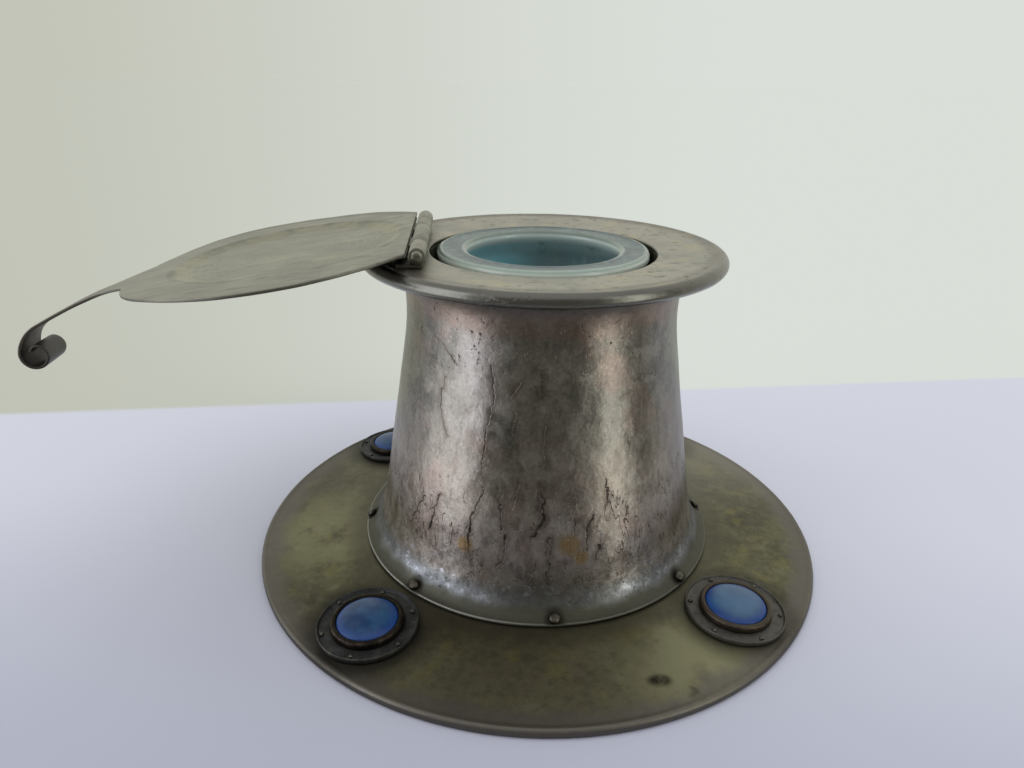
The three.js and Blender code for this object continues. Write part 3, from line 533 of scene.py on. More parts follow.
def bezel_recipe(place, spot):
    x, y, height = place.part("X"), place.part("Y"), place.part("Z")
    radius = x.beyond(y)
    cloud = spot.mottle(3.4, 4, 0.65)
    grain = spot.mottle(0.6, 4, 0.65)
    colour = cloud.ease(0.35, 0.65).tint(paint(60, 54, 46), paint(42, 38, 34))
    worn = cloud.ease(0.44, 0.6) * radius.ease(9.2, 9.7) * height.ease(1.9, 2.6)
    outward = x.ease(0, 7)
    colour = colour.coated(worn * (0.05 + outward * 0.25), 118, 102, 88)
    colour = colour.coated(lighter_right_front(spot) * 0.4, 112, 102, 88)
    colour = colour.coated(height.ease(1.7, 1.25) * 0.7, 32, 30, 27)
    roughness = 0.36 + cloud * 0.2 + grain * 0.06
    return metal(colour, roughness, grain * 0.03 + cloud * 0.15)


def liner_recipe(place, spot):
    x, y, height = spot.part("X"), spot.part("Y"), spot.part("Z")
    radius = x.beyond(y)
    cloud = spot.mottle(8, 4, 0.6)
    mottle = spot.stretched(1, 1, 0.5).mottle(2.4, 4, 0.65)
    speck = spot.mottle(0.9, 3, 0.6)
    warp = (cloud - 0.5) * 1.2
    colour = mottle.ease(0.38, 0.64).tint(paint(112, 142, 134), paint(74, 108, 100))
    top = height.ease(94.3, 94.9)
    flat = top * (radius + warp * 0.4).ease(23.2, 24.0) * (radius + warp * 0.4).ease(29.7, 29.0)
    shelf = cloud.ease(0.4, 0.6).tint(paint(60, 80, 82), paint(48, 67, 68))
    shelf = shelf.coated(mottle.ease(0.5, 0.66) * 0.45, 104, 124, 116)
    outer_edge = height.ease(93.3, 94.3) * radius.ease(28.9, 29.6)
    inner_edge = height.ease(90.4, 91.4) * radius.ease(24.4, 23.3)
    pale = (outer_edge + warp * 0.5).most(inner_edge + warp * 0.3)
    # Painted light: the pale edge is lighter on the front of the rim.
    edge = y.ease(-8, -26).tint(paint(150, 166, 154), paint(100, 112, 100))
    under_lip = height.ease(94.5, 93.6) * radius.ease(24.6, 24.2) * y.ease(-14, 4)
    edge = edge.coated(under_lip, 198, 212, 206)
    colour = (pale.ease(0.2, 0.9) * 0.85).tint(edge, colour)
    side = radius.ease(29.8, 30.4) * height.ease(94.8, 94.2)
    colour = colour.coated(side * 0.85, 214, 224, 210)
    colour = flat.tint(shelf, colour)
    bowl = radius.ease(25.9, 25.4) * (height + warp * 0.6).ease(92.2, 90.8)
    glaze = height.ease(90.5, 86.5).tint(paint(118, 138, 140), paint(190, 204, 203))
    lit = height.ease(90.5, 84).tint(paint(134, 204, 214), paint(172, 216, 222))
    glaze = x.ease(6, -18).tint(lit, glaze)
    glaze = glaze.coated(height.ease(85, 68), 72, 112, 118)
    glaze = glaze.coated(mottle.ease(0.5, 0.7) * 0.35, 150, 182, 172)
    glaze = glaze.coated(cloud.ease(0.45, 0.3) * 0.5, 62, 88, 92)
    colour = bowl.tint(glaze, colour)
    bare = height.ease(62.6, 60.9)
    colour = colour.coated(bare, 168, 150, 122)
    roughness = 0.22 + speck * 0.08 + flat * 0.2 + bare * 0.45 - bowl * 0.08
    relief = cloud * 0.12 + mottle * 0.03 + speck * 0.006
    return {
        "Base Color": colour,
        "Roughness": roughness,
        "Coat Weight": (bowl * 0.65 + 0.35) * (1 - bare),
        "Coat Roughness": 0.06,
        "Normal": roughness.bump(relief),
    }


def stone_recipe(place, spot):
    radius = place.part("X").beyond(place.part("Y"))
    cloud = spot.mottle(5.5, 4, 0.6)
    vein = spot.moved((8, 80, 0)).stretched(1, 0.5, 1).mottle(2.6, 5, 0.65)
    blush = spot.moved((60, 9, 0)).mottle(4.2, 4, 0.6)
    colour = cloud.ease(0.38, 0.64).tint(paint(36, 76, 114), paint(22, 54, 94))
    colour = colour.coated(vein.ease(0.52, 0.72) * 0.45, 62, 92, 118)
    colour = colour.coated(blush.ease(0.54, 0.7) * 0.42, 66, 66, 98)
    colour = colour.coated(radius.ease(5.4, 8.2) * 0.65, 14, 60, 134)
    colour = colour.coated(spot.part("X").ease(10, 50) * radius.ease(8, 5) * 0.4, 86, 120, 146)
    colour = colour.coated(radius.ease(8.0, 8.5) * 0.8, 10, 22, 48)
    return {
        "Base Color": colour,
        "Roughness": 0.34 + cloud * 0.16,
        "Specular IOR Level": 0.32,
        "Coat Weight": 0.1 + cloud * 0.16,
        "Coat Roughness": 0.22,
        "Normal": cloud.bump(cloud * 0.12 + vein * 0.03),
    }


def well_recipe(place, spot):
    cloud = spot.mottle(7, 4, 0.6)
    grain = spot.mottle(0.8, 3, 0.6)
    colour = cloud.ease(0.4, 0.62).tint(paint(104, 110, 92), paint(58, 58, 48))
    return metal(colour, 0.46 + cloud * 0.18, grain * 0.03 + cloud * 0.12)


# Each slot with its finish
FINISHES = {
    "plate_metal": finish("olive_tarnished_metal", plate_recipe),
    "body_metal": finish("hammered_metal", body_recipe),
    "collar_metal": finish("pitted_collar_metal", collar_recipe),
    "lid_metal": finish("scratched_lid_metal", lid_recipe),
    "dark_metal": finish("hinge_metal", hinge_recipe),
    "rivet_metal": finish("rivet_metal", rivet_recipe),
    "roundel_metal": finish("roundel_metal", roundel_recipe),
    "bezel_metal": finish("bezel_metal", bezel_recipe),
    "pin_metal": finish("pin_metal", pin_recipe),
    "well_metal": finish("well_metal", well_recipe),
    "liner_glaze": finish("teal_glaze", liner_recipe),
    "stone_glaze": finish("blue_stone_glaze", stone_recipe),
}


# Shapes. An outline is a list of (radius, height) in millimetres.
SAME_POINT = 1e-5


def size_of(node):
    """Reach from the upright axis, foot and top of a turned CAD node."""
    low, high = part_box(node)
    return tuple(round(value / MM, 2) for value in (high.x, low.z, high.z))


def middle_of(node):
    low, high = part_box(node)
    return tuple(round(value / MM, 2) for value in (low + high) / 2)


def arc(centre_radius, centre_height, radius, start, turn, steps):
    """Points round a centre, from a start angle over a turn, both in degrees."""
    angles = np.radians(np.linspace(start, start + turn, steps + 1))
    return [(centre_radius + radius * math.cos(a), centre_height + radius * math.sin(a)) for a in angles]


def bent(points, steps):
    """A Bezier curve through its end points, for any number of handles."""
    corners = np.array(points, float)
    shares = np.linspace(0, 1, steps + 1)
    degree = len(corners) - 1
    weights = [math.comb(degree, i) * shares**i * (1 - shares) ** (degree - i) for i in range(degree + 1)]
    return [tuple(p) for p in np.array(weights).T @ corners]


def straight(start, end, steps):
    start, run = np.array(start), np.subtract(end, start)
    return [tuple(start + run * i / steps) for i in range(steps + 1)]


def without_doubles(line):
    kept = [line[0]]
    for point in line[1:]:
        if math.dist(point, kept[-1]) > SAME_POINT:
            kept.append(point)
    return kept


def spin(line, sides, ring=False):
    """Points and faces of a turned piece. A line that isn't a ring starts and ends on the axis."""
    line = without_doubles(line)
    if ring and math.dist(line[0], line[-1]) < SAME_POINT:
        line = line[:-1]
    points, faces, rows = [], [], []
    for radius, height in line:
        if radius < SAME_POINT:
            rows.append([len(points)] * sides)
            points.append((0.0, 0.0, height))
            continue
        rows.append([len(points) + i for i in range(sides)])
        for i in range(sides):
            angle = TURN * i / sides
            points.append((radius * math.cos(angle), radius * math.sin(angle), height))
    pairs = list(zip(rows, rows[1:]))
    if ring:
        pairs.append((rows[-1], rows[0]))
    for low, high in pairs:
        for i in range(sides):
            k = (i + 1) % sides
            corners = [low[i], low[k], high[k], high[i]]
            faces.append([c for j, c in enumerate(corners) if c != corners[j - 1]])
    return np.array(points), faces


def joined(*shapes):
    """Several closed forms as one list of points and faces."""
    points, faces, count = [], [], 0
    for shape_points, shape_faces in shapes:
        points.append(shape_points)
        faces += [[c + count for c in face] for face in shape_faces]
        count += len(shape_points)
    return np.vstack(points), faces


def seated(shape, matrix):
    """A shape moved from its own frame to its seat on the part."""
    points, faces = shape
    turned = np.array(matrix)
    return points @ turned[:3, :3].T + turned[:3, 3], faces


def roughly(point, size):
    """Smooth noise from -1 to 1, whose swells are about size across."""
    return noise.noise(Vector(point) / size)


def smooth_share(value, low, high):
    share = min(1.0, max(0.0, (value - low) / (high - low)))
    return share * share * (3 - 2 * share)


def facets(point, size):
    """The shallow hollow of the nearest hammer blow, from 0 at its middle."""
    nearest = noise.voronoi(Vector(point) / size)[0][0]
    return min(nearest, 0.8) ** 2


def make(name, shape, slot, node, body="stand", relief=None, own=None, smooth=40):
    """A piece of the scene: its mesh in place, its finish, and the CAD node that it stands for."""
    points, faces = shape
    mesh = bpy.data.meshes.new(name)
    mesh.from_pydata([tuple(p * MM) for p in points], [], faces)
    work = bmesh.new()
    work.from_mesh(mesh)
    bmesh.ops.recalc_face_normals(work, faces=work.faces)
    if relief:
        work.normal_update()
        for vertex in work.verts:
            vertex.co += vertex.normal * (relief(vertex.co / MM, vertex.normal) * MM)
    work.to_mesh(mesh)
    work.free()
    mesh.polygons.foreach_set("use_smooth", [True] * len(mesh.polygons))
    mesh.set_sharp_from_angle(angle=math.radians(smooth))
    places = mesh.attributes.new("place", "FLOAT_VECTOR", "POINT")
    own_places = points if own is None else own
    places.data.foreach_set("vector", np.asarray(own_places, np.float32).ravel())
    mesh.materials.append(FINISHES[slot])
    piece = bpy.data.objects.new(name, mesh)
    bpy.context.scene.collection.objects.link(piece)
    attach(piece, body)
    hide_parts(node)


# Base plate
PLATE_RADIUS, _, PLATE_TOP = size_of("base_plate")
PLATE_FLAT_RADIUS = 57.0
PLATE_EDGE_TOP = 2.35
PLATE_BEAD_WIDTH = 2.4
PLATE_UNDERSIDE = 1.0
PLATE_SLOPE_WIDTH = PLATE_RADIUS - PLATE_BEAD_WIDTH - PLATE_FLAT_RADIUS
PLATE_FALL = math.atan((PLATE_TOP - PLATE_EDGE_TOP) / PLATE_SLOPE_WIDTH)


def base_plate_line():
    """Flat below, round at the rim, a low bead inside it, and a slope up to the flat middle."""
    rim, top, flat = PLATE_RADIUS, PLATE_TOP, PLATE_FLAT_RADIUS
    slope_end = (rim - 2.6, PLATE_EDGE_TOP + 0.01)
    line = straight((0, 0), (flat + 3, 0), 6) + straight((flat + 3, 0), (rim - 0.8, 0), 8)
    line += bent([(rim - 0.8, 0), (rim - 0.1, 0.05), (rim, 0.6), (rim, 1.1)], 5)
    line += bent([(rim, 1.1), (rim, 1.9), (rim - 0.3, 2.36), (rim - 0.9, 2.54)], 5)
    line += bent([(rim - 0.9, 2.54), (rim - 1.4, 2.64), (rim - 1.8, 2.31), slope_end], 7)
    line += straight(slope_end, (flat + 0.2, top - 0.01), 34)
    line += bent([(flat + 0.2, top - 0.01), (flat, top), (flat - 0.2, top)], 2)
    return line + straight((flat - 0.2, top), (0, top), 16)


def plate_relief(point, _):
    if point.z < PLATE_UNDERSIDE:
        return 0.0
    radius = math.hypot(point.x, point.y)
    swell = 0.10 * roughly(point, 26) + 0.03 * roughly(point, 9)
    return swell * min(1.0, max(0.25, (radius - PLATE_FLAT_RADIUS) / 6))


make("dished_base_plate", spin(base_plate_line(), 256), "plate_metal", "base_plate", relief=plate_relief)


# Hammered body
FOOT_RADIUS, _, BODY_TOP = size_of("body_shell")
SHELL_SHEET = 1.0
FOOT_EDGE = 4.7
WALL_FOOT, WALL_TOP = (49.1, 18.0), (41.2, 67.0)
NECK_TOP = (47.2, BODY_TOP - SHELL_SHEET)
FOOT_CURVE = ((FOOT_RADIUS, FOOT_EDGE), (53.5, 5.4), (50.63, 8.5), WALL_FOOT)
NECK_CURVE = (WALL_TOP, (38.3, 85.0), (41.2, NECK_TOP[1]), NECK_TOP)
COLLAR_SEAT_WIDTH = 1.2
RIVET_HEAD_PLACE = (54.5, 5.5)


def body_line():
    outside = bent(FOOT_CURVE, 36)[1:] + straight(WALL_FOOT, WALL_TOP, 46) + bent(NECK_CURVE, 26)
    outside += straight(NECK_TOP, (NECK_TOP[0] + COLLAR_SEAT_WIDTH, NECK_TOP[1]), 2)
    outside = without_doubles(outside)
    inside = []
    for i, point in enumerate(outside):
        before, after = outside[max(i - 1, 0)], outside[min(i + 1, len(outside) - 1)]
        run, rise = after[0] - before[0], after[1] - before[1]
        length = math.hypot(run, rise)
        inside.append((point[0] - SHELL_SHEET * rise / length, point[1] + SHELL_SHEET * run / length))
    edge = FOOT_RADIUS + 0.02
    rounded = [inside[0], (FOOT_RADIUS - 0.2, 3.72), (edge, 4.1), (edge, FOOT_EDGE), outside[0]]
    return bent(rounded, 7)[:-1] + outside + inside[::-1]


def body_relief(point, normal):
    """Hammer blows and swells on the outer skin, and a shallow seat round each rivet's head."""
    outer = normal.x * point.x + normal.y * point.y > 0 or normal.z > 0.7
    rise = point.z - FOOT_EDGE - 0.05
    if not outer or rise < 0:
        return 0.0
    azimuth = math.atan2(point.y, point.x)
    step = TURN / RIVET_COUNT
    along = (azimuth - round(azimuth / step) * step) * RIVET_CIRCLE
    outward = math.hypot(point.x, point.y) - RIVET_HEAD_PLACE[0]
    from_head = math.hypot(along, outward, point.z - RIVET_HEAD_PLACE[1])
    seat = -0.3 * (1 - smooth_share(from_head, 1.5, 3.4))
    share = min(1.0, rise / 9) * min(1.0, max(0.0, (NECK_TOP[1] - 0.1 - point.z) / 6))
    blow = facets((point.x, point.y, point.z * 0.9), 7.5) * 0.09 - 0.02
    return seat + share * (blow + 0.09 * roughly(point, 15) + 0.035 * roughly(point, 4))


make("hammered_body", spin(body_line(), 288, ring=True), "body_metal", "body_shell", relief=body_relief)


# Collar
_, _, COLLAR_BEAD_TOP = size_of("collar")
COLLAR_TOP = 95.2
COLLAR_SHEET = 1.0
COLLAR_OPENING = 33.0
COLLAR_DISH_RADIUS = 46.5
COLLAR_DISH_DEPTH = 0.9
COLLAR_LIP_ROUND = 0.35
COLLAR_BEAD_RADIUS = 2.0
COLLAR_BEAD_CIRCLE = 50.7


def collar_line():
    """A flat ring, dished towards its opening, whose outer edge is rolled over."""
    opening, dish, bead = COLLAR_OPENING, COLLAR_DISH_RADIUS, COLLAR_BEAD_CIRCLE
    top, under = COLLAR_TOP, COLLAR_TOP - COLLAR_SHEET
    lip, lip_under, bead_top = top - COLLAR_DISH_DEPTH, under - COLLAR_DISH_DEPTH, COLLAR_BEAD_TOP
    lip_centre = (opening + COLLAR_LIP_ROUND, lip - COLLAR_LIP_ROUND)
    line = bent([(opening, lip_under + 0.1), (opening, lip_under), (opening + 0.1, lip_under + 0.01)], 2)
    line += straight((opening + 0.1, lip_under + 0.01), (dish, under), 6)
    line += straight((dish, under), (dish + 2.2, under), 2)
    line += arc(bead, bead_top - COLLAR_BEAD_RADIUS, COLLAR_BEAD_RADIUS, -150, 240, 36)
    line += bent([(bead, bead_top), (bead - 1, bead_top), (bead - 1.1, top), (bead - 2.4, top)], 8)
    line += bent([(bead - 2.4, top), (dish, top), (dish - 2, top - 0.14)], 6)
    line += straight((dish - 2, top - 0.14), (lip_centre[0], lip), 12)
    line += arc(*lip_centre, COLLAR_LIP_ROUND, 90, 90, 5)
    return line + [(opening, lip_under + 0.1)]


def collar_relief(point, normal):
    on_underside = math.hypot(point.x, point.y) < 48.9 and normal.z < 0.5
    return 0.0 if on_underside else 0.07 * roughly(point, 16) + 0.03 * roughly(point, 5)


make("rolled_collar", spin(collar_line(), 256, ring=True), "collar_metal", "collar", relief=collar_relief)


# Well and liner
WELL_REACH, WELL_FOOT, WELL_TOP = size_of("liner_well")
WELL_SHEET = 0.9
WELL_BORE = 33.2
WELL_CORNER = 3.0
WELL_LIP = 0.4
LINER_RIM, LINER_FOOT, LINER_TOP = size_of("liner")
BOWL_RADIUS = 25.2
BOWL_FLOOR = 64.5
BOWL_ROUND = 11.0


def well_line():
    bore, wall, seat = WELL_BORE, WELL_BORE + WELL_SHEET, WELL_FOOT + WELL_SHEET
    corner = (bore - WELL_CORNER, seat + WELL_CORNER)
    line = [(0, WELL_FOOT)] + arc(*corner, WELL_CORNER + WELL_SHEET, -90, 90, 8)
    line += straight((wall, corner[1] + 0.5), (wall, WELL_TOP - WELL_SHEET), 6)
    line += [(WELL_REACH, WELL_TOP - WELL_SHEET), (WELL_REACH, WELL_TOP)]
    line += arc(bore + WELL_LIP, WELL_TOP - WELL_LIP, WELL_LIP, 90, 90, 4)
    line += straight((bore, WELL_TOP - 1.1), (bore, corner[1] + 0.5), 8)
    return line + arc(*corner, WELL_CORNER, 0, -90, 8) + [(15, seat), (0, seat)]


def liner_line():
    """Up from a foot ring and a heel to the rim, over a shelf and an inner lip, and down the bowl."""
    foot, top, rim, bowl = LINER_FOOT, LINER_TOP, LINER_RIM, BOWL_RADIUS
    ring_inside, ring_outside, heel_end = (20.9, foot), (23.3, foot), (28.35, foot + 7.7)
    line = [(0, foot + 0.9), (19.8, foot + 0.9)]
    line += bent([(19.8, foot + 0.9), (20.4, foot + 0.9), (20.5, foot + 0.2), (20.9, foot + 0.02)], 4)
    line += straight(ring_inside, ring_outside, 3)
    heel = [(24.2, foot), (25.2, foot + 1.4), (27.6, foot + 4.9), (28.2, foot + 6)]
    line += bent([ring_outside, *heel, heel_end], 10)
    under_rim, on_rim = (rim - 0.9, top - 4.7), (rim, top - 2.1)
    line += straight(heel_end, under_rim, 12)
    line += bent([under_rim, (rim - 0.8, top - 3.4), (rim - 0.1, top - 3.2), on_rim], 6)
    shelf_start, shelf_end = (rim - 1.6, top - 0.05), (bowl - 1, top - 0.25)
    line += bent([on_rim, (rim + 0.05, top - 0.6), (rim - 0.7, top), shelf_start], 10)
    line += bent([shelf_start, (rim - 2.4, top - 0.4), (bowl + 0.2, top - 0.45), shelf_end], 10)
    mouth, wall_top, wall_end = (bowl - 3.3, top - 2.1), (bowl, top - 9), (bowl, BOWL_FLOOR + BOWL_ROUND)
    line += bent([shelf_end, (bowl - 2, top - 0.35), (bowl - 3.3, top - 0.5), mouth], 9)
    line += bent([mouth, (bowl - 3.3, top - 4.1), (bowl, top - 6.2), wall_top], 10)
    line += straight(wall_top, wall_end, 6)
    line += arc(bowl - BOWL_ROUND, BOWL_FLOOR + BOWL_ROUND, BOWL_ROUND, 0, -90, 14)
    return line + [(9, BOWL_FLOOR), (4, BOWL_FLOOR), (0, BOWL_FLOOR)]


def liner_relief(point, _):
    on_foot = point.z < LINER_FOOT + 1.2
    return 0.0 if on_foot else 0.10 * roughly(point, 14) + 0.03 * roughly(point, 4)


make("well_cup", spin(well_line(), 160), "well_metal", "liner_well")
make("glazed_liner", spin(liner_line(), 192), "liner_glaze", "liner", "liner_pot", relief=liner_relief)


# Rivets of the foot
RIVET_HEAD, RIVET_LIFT, RIVET_DOME_TOP = 1.6, 0.3, 1.4
RIVET_SHANK, RIVET_LENGTH = 0.9, 4.8
RIVET_SEAT_STEP = 4


def rivet_seat(azimuth):
    """The frame of a rivet, square to the flare of the foot."""
    before, here, after = bent(FOOT_CURVE, 20)[RIVET_SEAT_STEP - 1:RIVET_SEAT_STEP + 2]
    lean = math.atan2(after[1] - before[1], before[0] - after[0])
    out = Matrix.Translation((here[0], 0, here[1]))
    return Matrix.Rotation(azimuth, 4, "Z") @ out @ Matrix.Rotation(lean, 4, "Y")


def rivet_shape(seed):
    """A rivet whose domed head is a little uneven, each in its own way."""
    head, lift, dome_top = RIVET_HEAD, RIVET_LIFT, RIVET_DOME_TOP
    line = [(0, -RIVET_LENGTH), (RIVET_SHANK, -RIVET_LENGTH), (RIVET_SHANK, lift), (head - 0.1, lift)]
    line += bent([(head, lift), (head + 0.02, 0.8), (1.2, dome_top), (0, dome_top)], 9)
    points, faces = spin(line, 28)
    for point in points:
        if point[2] > lift + 0.1:
            blow = roughly((point[0] + 9 * seed, point[1], point[2]), 1.1)
            point[2] -= 0.10 * abs(blow) * (point[2] - lift)
            point[:2] *= 1 + 0.05 * roughly((point[0] + 5 * seed, point[1], 3), 1.5)
    return points, faces


for index in range(RIVET_COUNT):
    rivet = rivet_shape(index)
    placed = seated(rivet, rivet_seat(TURN * index / RIVET_COUNT))
    number = index + 1
    make(f"domed_rivet_{number}", placed, "rivet_metal", f"flange_rivet_{number}", own=rivet[0])


# Roundels
ROUNDEL_SEAT = PLATE_TOP - (ROUNDEL_CIRCLE - PLATE_FLAT_RADIUS) * math.tan(PLATE_FALL)
ROUNDEL_RADIUS, ROUNDEL_FOOT, ROUNDEL_FLAT, ROUNDEL_RIM_TOP = 13.8, 0.3, 1.1, 1.8
BEZEL_RADIUS, BEZEL_BORE, BEZEL_LIP, BEZEL_TOP = 9.95, 8.75, 8.42, 3.2
STONE_SEAT, STONE_RADIUS, STONE_CROWN = 1.2, 8.65, 4.9
ROUNDEL_PINS = 6
ROUNDEL_PIN_CIRCLE = 12.2
ROUNDEL_PIN_START = math.radians(30)
PIN_RADIUS, PIN_HEAD, PIN_TOP = 0.4, 0.6, 1.82


def roundel_plate_line():
    rim, foot, flat, top = ROUNDEL_RADIUS, ROUNDEL_FOOT, ROUNDEL_FLAT, ROUNDEL_RIM_TOP
    line = [(0, foot), (6, foot), (rim - 0.2, foot)] + arc(rim - 0.3, foot + 0.3, 0.3, -90, 90, 4)
    line += bent([(rim, foot + 0.3), (rim + 0.02, 1.2), (rim - 0.05, top), (rim - 0.3, top)], 6)
    line += bent([(rim - 0.3, top), (rim - 0.6, top), (rim - 0.55, 1.2), (rim - 0.9, flat + 0.02)], 7)
    return line + straight((rim - 0.9, flat + 0.02), (9, flat), 6) + [(4, flat), (0, flat)]


def bezel_line():
    rim, bore, lip, top = BEZEL_RADIUS, BEZEL_BORE, BEZEL_LIP, BEZEL_TOP
    line = straight((bore, STONE_SEAT), (rim, STONE_SEAT), 2)
    line += straight((rim, STONE_SEAT), (rim - 0.05, 2.4), 3)
    line += bent([(rim - 0.05, 2.4), (rim - 0.07, 3.0), (rim - 0.45, top + 0.02), (rim - 0.85, top)], 6)
    line += bent([(rim - 0.85, top), (lip + 0.18, top - 0.02), (lip - 0.02, 3.05), (lip, 2.9)], 5)
    return line + bent([(lip, 2.9), (8.5, 2.75), (bore, 2.8), (bore, 2.6)], 3)


def stone_line():
    rim, seat, crown = STONE_RADIUS, STONE_SEAT, STONE_CROWN
    line = [(0, seat), (5, seat), (rim - 0.15, seat), (rim, seat + 0.15), (rim, 2.3)]
    return line + bent([(rim - 0.35, 2.6), (rim - 0.35, 3.55), (4.6, crown), (0, crown)], 16)


def roundel_pin_line():
    shank, head, top, tail = PIN_RADIUS, PIN_HEAD, PIN_TOP, -1.6
    line = [(0, tail), (shank, tail), (shank, 1.2), (head - 0.02, 1.2), (head, 1.35)]
    return line + bent([(head, 1.35), (head - 0.02, 1.7), (head / 2, top), (0, top)], 5)


def uneven(swell):
    return lambda point, _: swell * roughly(point, 3.5)


for number, azimuth in enumerate(ROUNDEL_AZIMUTHS, 1):
    node = f"roundel_{number}"
    out = Matrix.Translation((ROUNDEL_CIRCLE, 0, ROUNDEL_SEAT)) @ Matrix.Rotation(PLATE_FALL, 4, "Y")
    seat = Matrix.Rotation(math.radians(azimuth), 4, "Z") @ out
    parts = (
        ("ring_plate", spin(roundel_plate_line(), 96), "roundel_metal", "plate", 0.06),
        ("bezel_ring", spin(bezel_line(), 96, ring=True), "bezel_metal", "bezel", 0.05),
        ("blue_stone", spin(stone_line(), 96), "stone_glaze", "stone", 0.05),
    )
    for word, shape, slot, part, swell in parts:
        placed = seated(shape, seat)
        make(f"{word}_{number}", placed, slot, f"{node}_{part}", relief=uneven(swell), own=shape[0])
    for pin in range(1, ROUNDEL_PINS + 1):
        turn = Matrix.Rotation(ROUNDEL_PIN_START + TURN * (pin - 1) / ROUNDEL_PINS, 4, "Z")
        shape = spin(roundel_pin_line(), 18)
        placed = seated(shape, seat @ turn @ Matrix.Translation((ROUNDEL_PIN_CIRCLE, 0, 0)))
        make(f"ring_pin_{number}_{pin}", placed, "pin_metal", f"{node}_pin_{pin}", own=shape[0])


# Lid. Its form is worked out from the hinge outward, as (distance, side, depth) of the flat sheet.
HINGE_X, _, HINGE_HEIGHT = middle_of("hinge_pin")
LID_CENTRE = 37.7
LID_RADIUS = 45.8
LID_START = 2.7
LID_SHEET = 0.9
LID_FACE_RISE = 1.8
REST_FALL, REST_RUN = 2.3, 15.6
LID_SLOPE = math.atan(REST_FALL / REST_RUN)
BOSS_EDGE, BOSS_RADIUS, BOSS_DEPTH = 32.0, 29.0, 1.2
LID_RINGS = 30
RIM_STEPS = 120
HINGE_STEPS = 60

# Stretches of the lid's inner face, each with its length and the turn over it
FLAT, BEND, NECK, DROP = (58.0, 0.0), (29.0, 11.0), (27.5, 10.0), (10.0, 51.0)
SCROLL_RADII = (4.2, 4.2, 3.2, 2.4)
STRETCHES = [(length, math.radians(turn)) for length, turn in (FLAT, BEND, NECK, DROP)]
STRETCHES += [(radius * math.pi / 2, math.pi / 2) for radius in SCROLL_RADII]
DROP_START = FLAT[0] + BEND[0] + NECK[0]
DROP_END = DROP_START + DROP[0]
STRIP_END = sum(length for length, _ in STRETCHES)
ROOT_HALF, ROOT_LENGTH = 12.0, 12.0
NECK_HALF, DROP_WIDENING, END_NARROWING = 4.4, 1.2, 0.6
STRIP_START = LID_CENTRE + math.sqrt(LID_RADIUS**2 - ROOT_HALF**2)
STRIP_COLUMNS = 16
ROW_LENGTH, ROW_TURN = 1.3, 0.1

# The rounded edge of the sheet, as steps of (outward, depth) from its inset outline
EDGE_INSET = 0.3
EDGE_STEPS = ((0.16, 0.04), (0.26, 0.14), (0.3, 0.3), (0.3, 0.6), (0.26, 0.76), (0.16, 0.86))
lid_frame = Matrix.Translation((HINGE_X, 0, HINGE_HEIGHT)) @ Matrix.Rotation(-LID_SLOPE, 4, "Y")


def lid_line(distance):
    """Place and heading of the lid's inner face at a distance from the hinge."""
    x, z, heading, left = 0.0, LID_FACE_RISE, 0.0, distance
    for length, turn in STRETCHES:
        run = min(left, length)
        after = heading + turn * run / length
        if turn:
            radius = length / turn
            x += radius * (math.sin(after) - math.sin(heading))
            z += radius * (math.cos(after) - math.cos(heading))
        else:
            x += run
        heading = after
        left -= run
        if left <= 0:
            break
    return x, z, heading


def lid_place(distance, side, depth):
    """Where a point of the flat sheet lies once the sheet is dished, bent and a little uneven."""
    x, z, heading = lid_line(distance)
    from_centre = math.hypot(distance - LID_CENTRE, side)
    below = depth + BOSS_DEPTH * (1 - smooth_share(from_centre, BOSS_RADIUS, BOSS_EDGE))
    loose = smooth_share(distance, 8, 20)
    below += loose * (0.22 * roughly((distance, side, 3), 21) + 0.06 * roughly((distance, side, 8), 6))
    return (-(x - below * math.sin(heading)), side, z - below * math.cos(heading))


def strip_half_width(distance):
    root = max(0.0, STRIP_START + ROOT_LENGTH - distance) / ROOT_LENGTH
    flare = (ROOT_HALF - NECK_HALF) * root**2
    wide = NECK_HALF + DROP_WIDENING * smooth_share(distance, DROP_START, DROP_END)
    return wide + flare - END_NARROWING * smooth_share(distance, DROP_END, STRIP_END)


def strip_rows():
    """Distances along the strip at which it has points across, closer where it turns."""
    rows, start = [STRIP_START], 0.0
    for length, turn in STRETCHES:
        first, end = max(start, STRIP_START), start + length
        if end > first:
            share = (end - first) / length
            steps = math.ceil(max((end - first) / ROW_LENGTH, turn * share / ROW_TURN))
            rows += [first + (end - first) * (i + 1) / steps for i in range(steps)]
        start = end
    return rows


def disc_outline():
    """Round the disc from the strip's far root, along the hinge, and back to the strip's near root."""
    to_hinge = LID_CENTRE - LID_START
    half = math.sqrt(LID_RADIUS**2 - to_hinge**2)
    root_angle = math.asin(ROOT_HALF / LID_RADIUS)
    hinge_angle = math.acos(-to_hinge / LID_RADIUS)

    def rim(start, end):
        angles = np.linspace(start, end, RIM_STEPS, endpoint=False)
        return [(LID_CENTRE + LID_RADIUS * math.cos(t), LID_RADIUS * math.sin(t)) for t in angles]

    along_hinge = [(LID_START, half - 2 * half * i / HINGE_STEPS) for i in range(HINGE_STEPS)]
    return rim(root_angle, hinge_angle) + along_hinge + rim(-hinge_angle, -root_angle)


def strip_outline(rows):
    """Out along the strip's near side, over its end, and back along its far side up to the disc."""
    near_side = [(d, -strip_half_width(d)) for d in rows]
    far_side = [(d, strip_half_width(d)) for d in rows]
    half = strip_half_width(rows[-1])
    tip = [(rows[-1], -half + 2 * half * i / STRIP_COLUMNS) for i in range(1, STRIP_COLUMNS)]
    return near_side + tip + far_side[:0:-1]


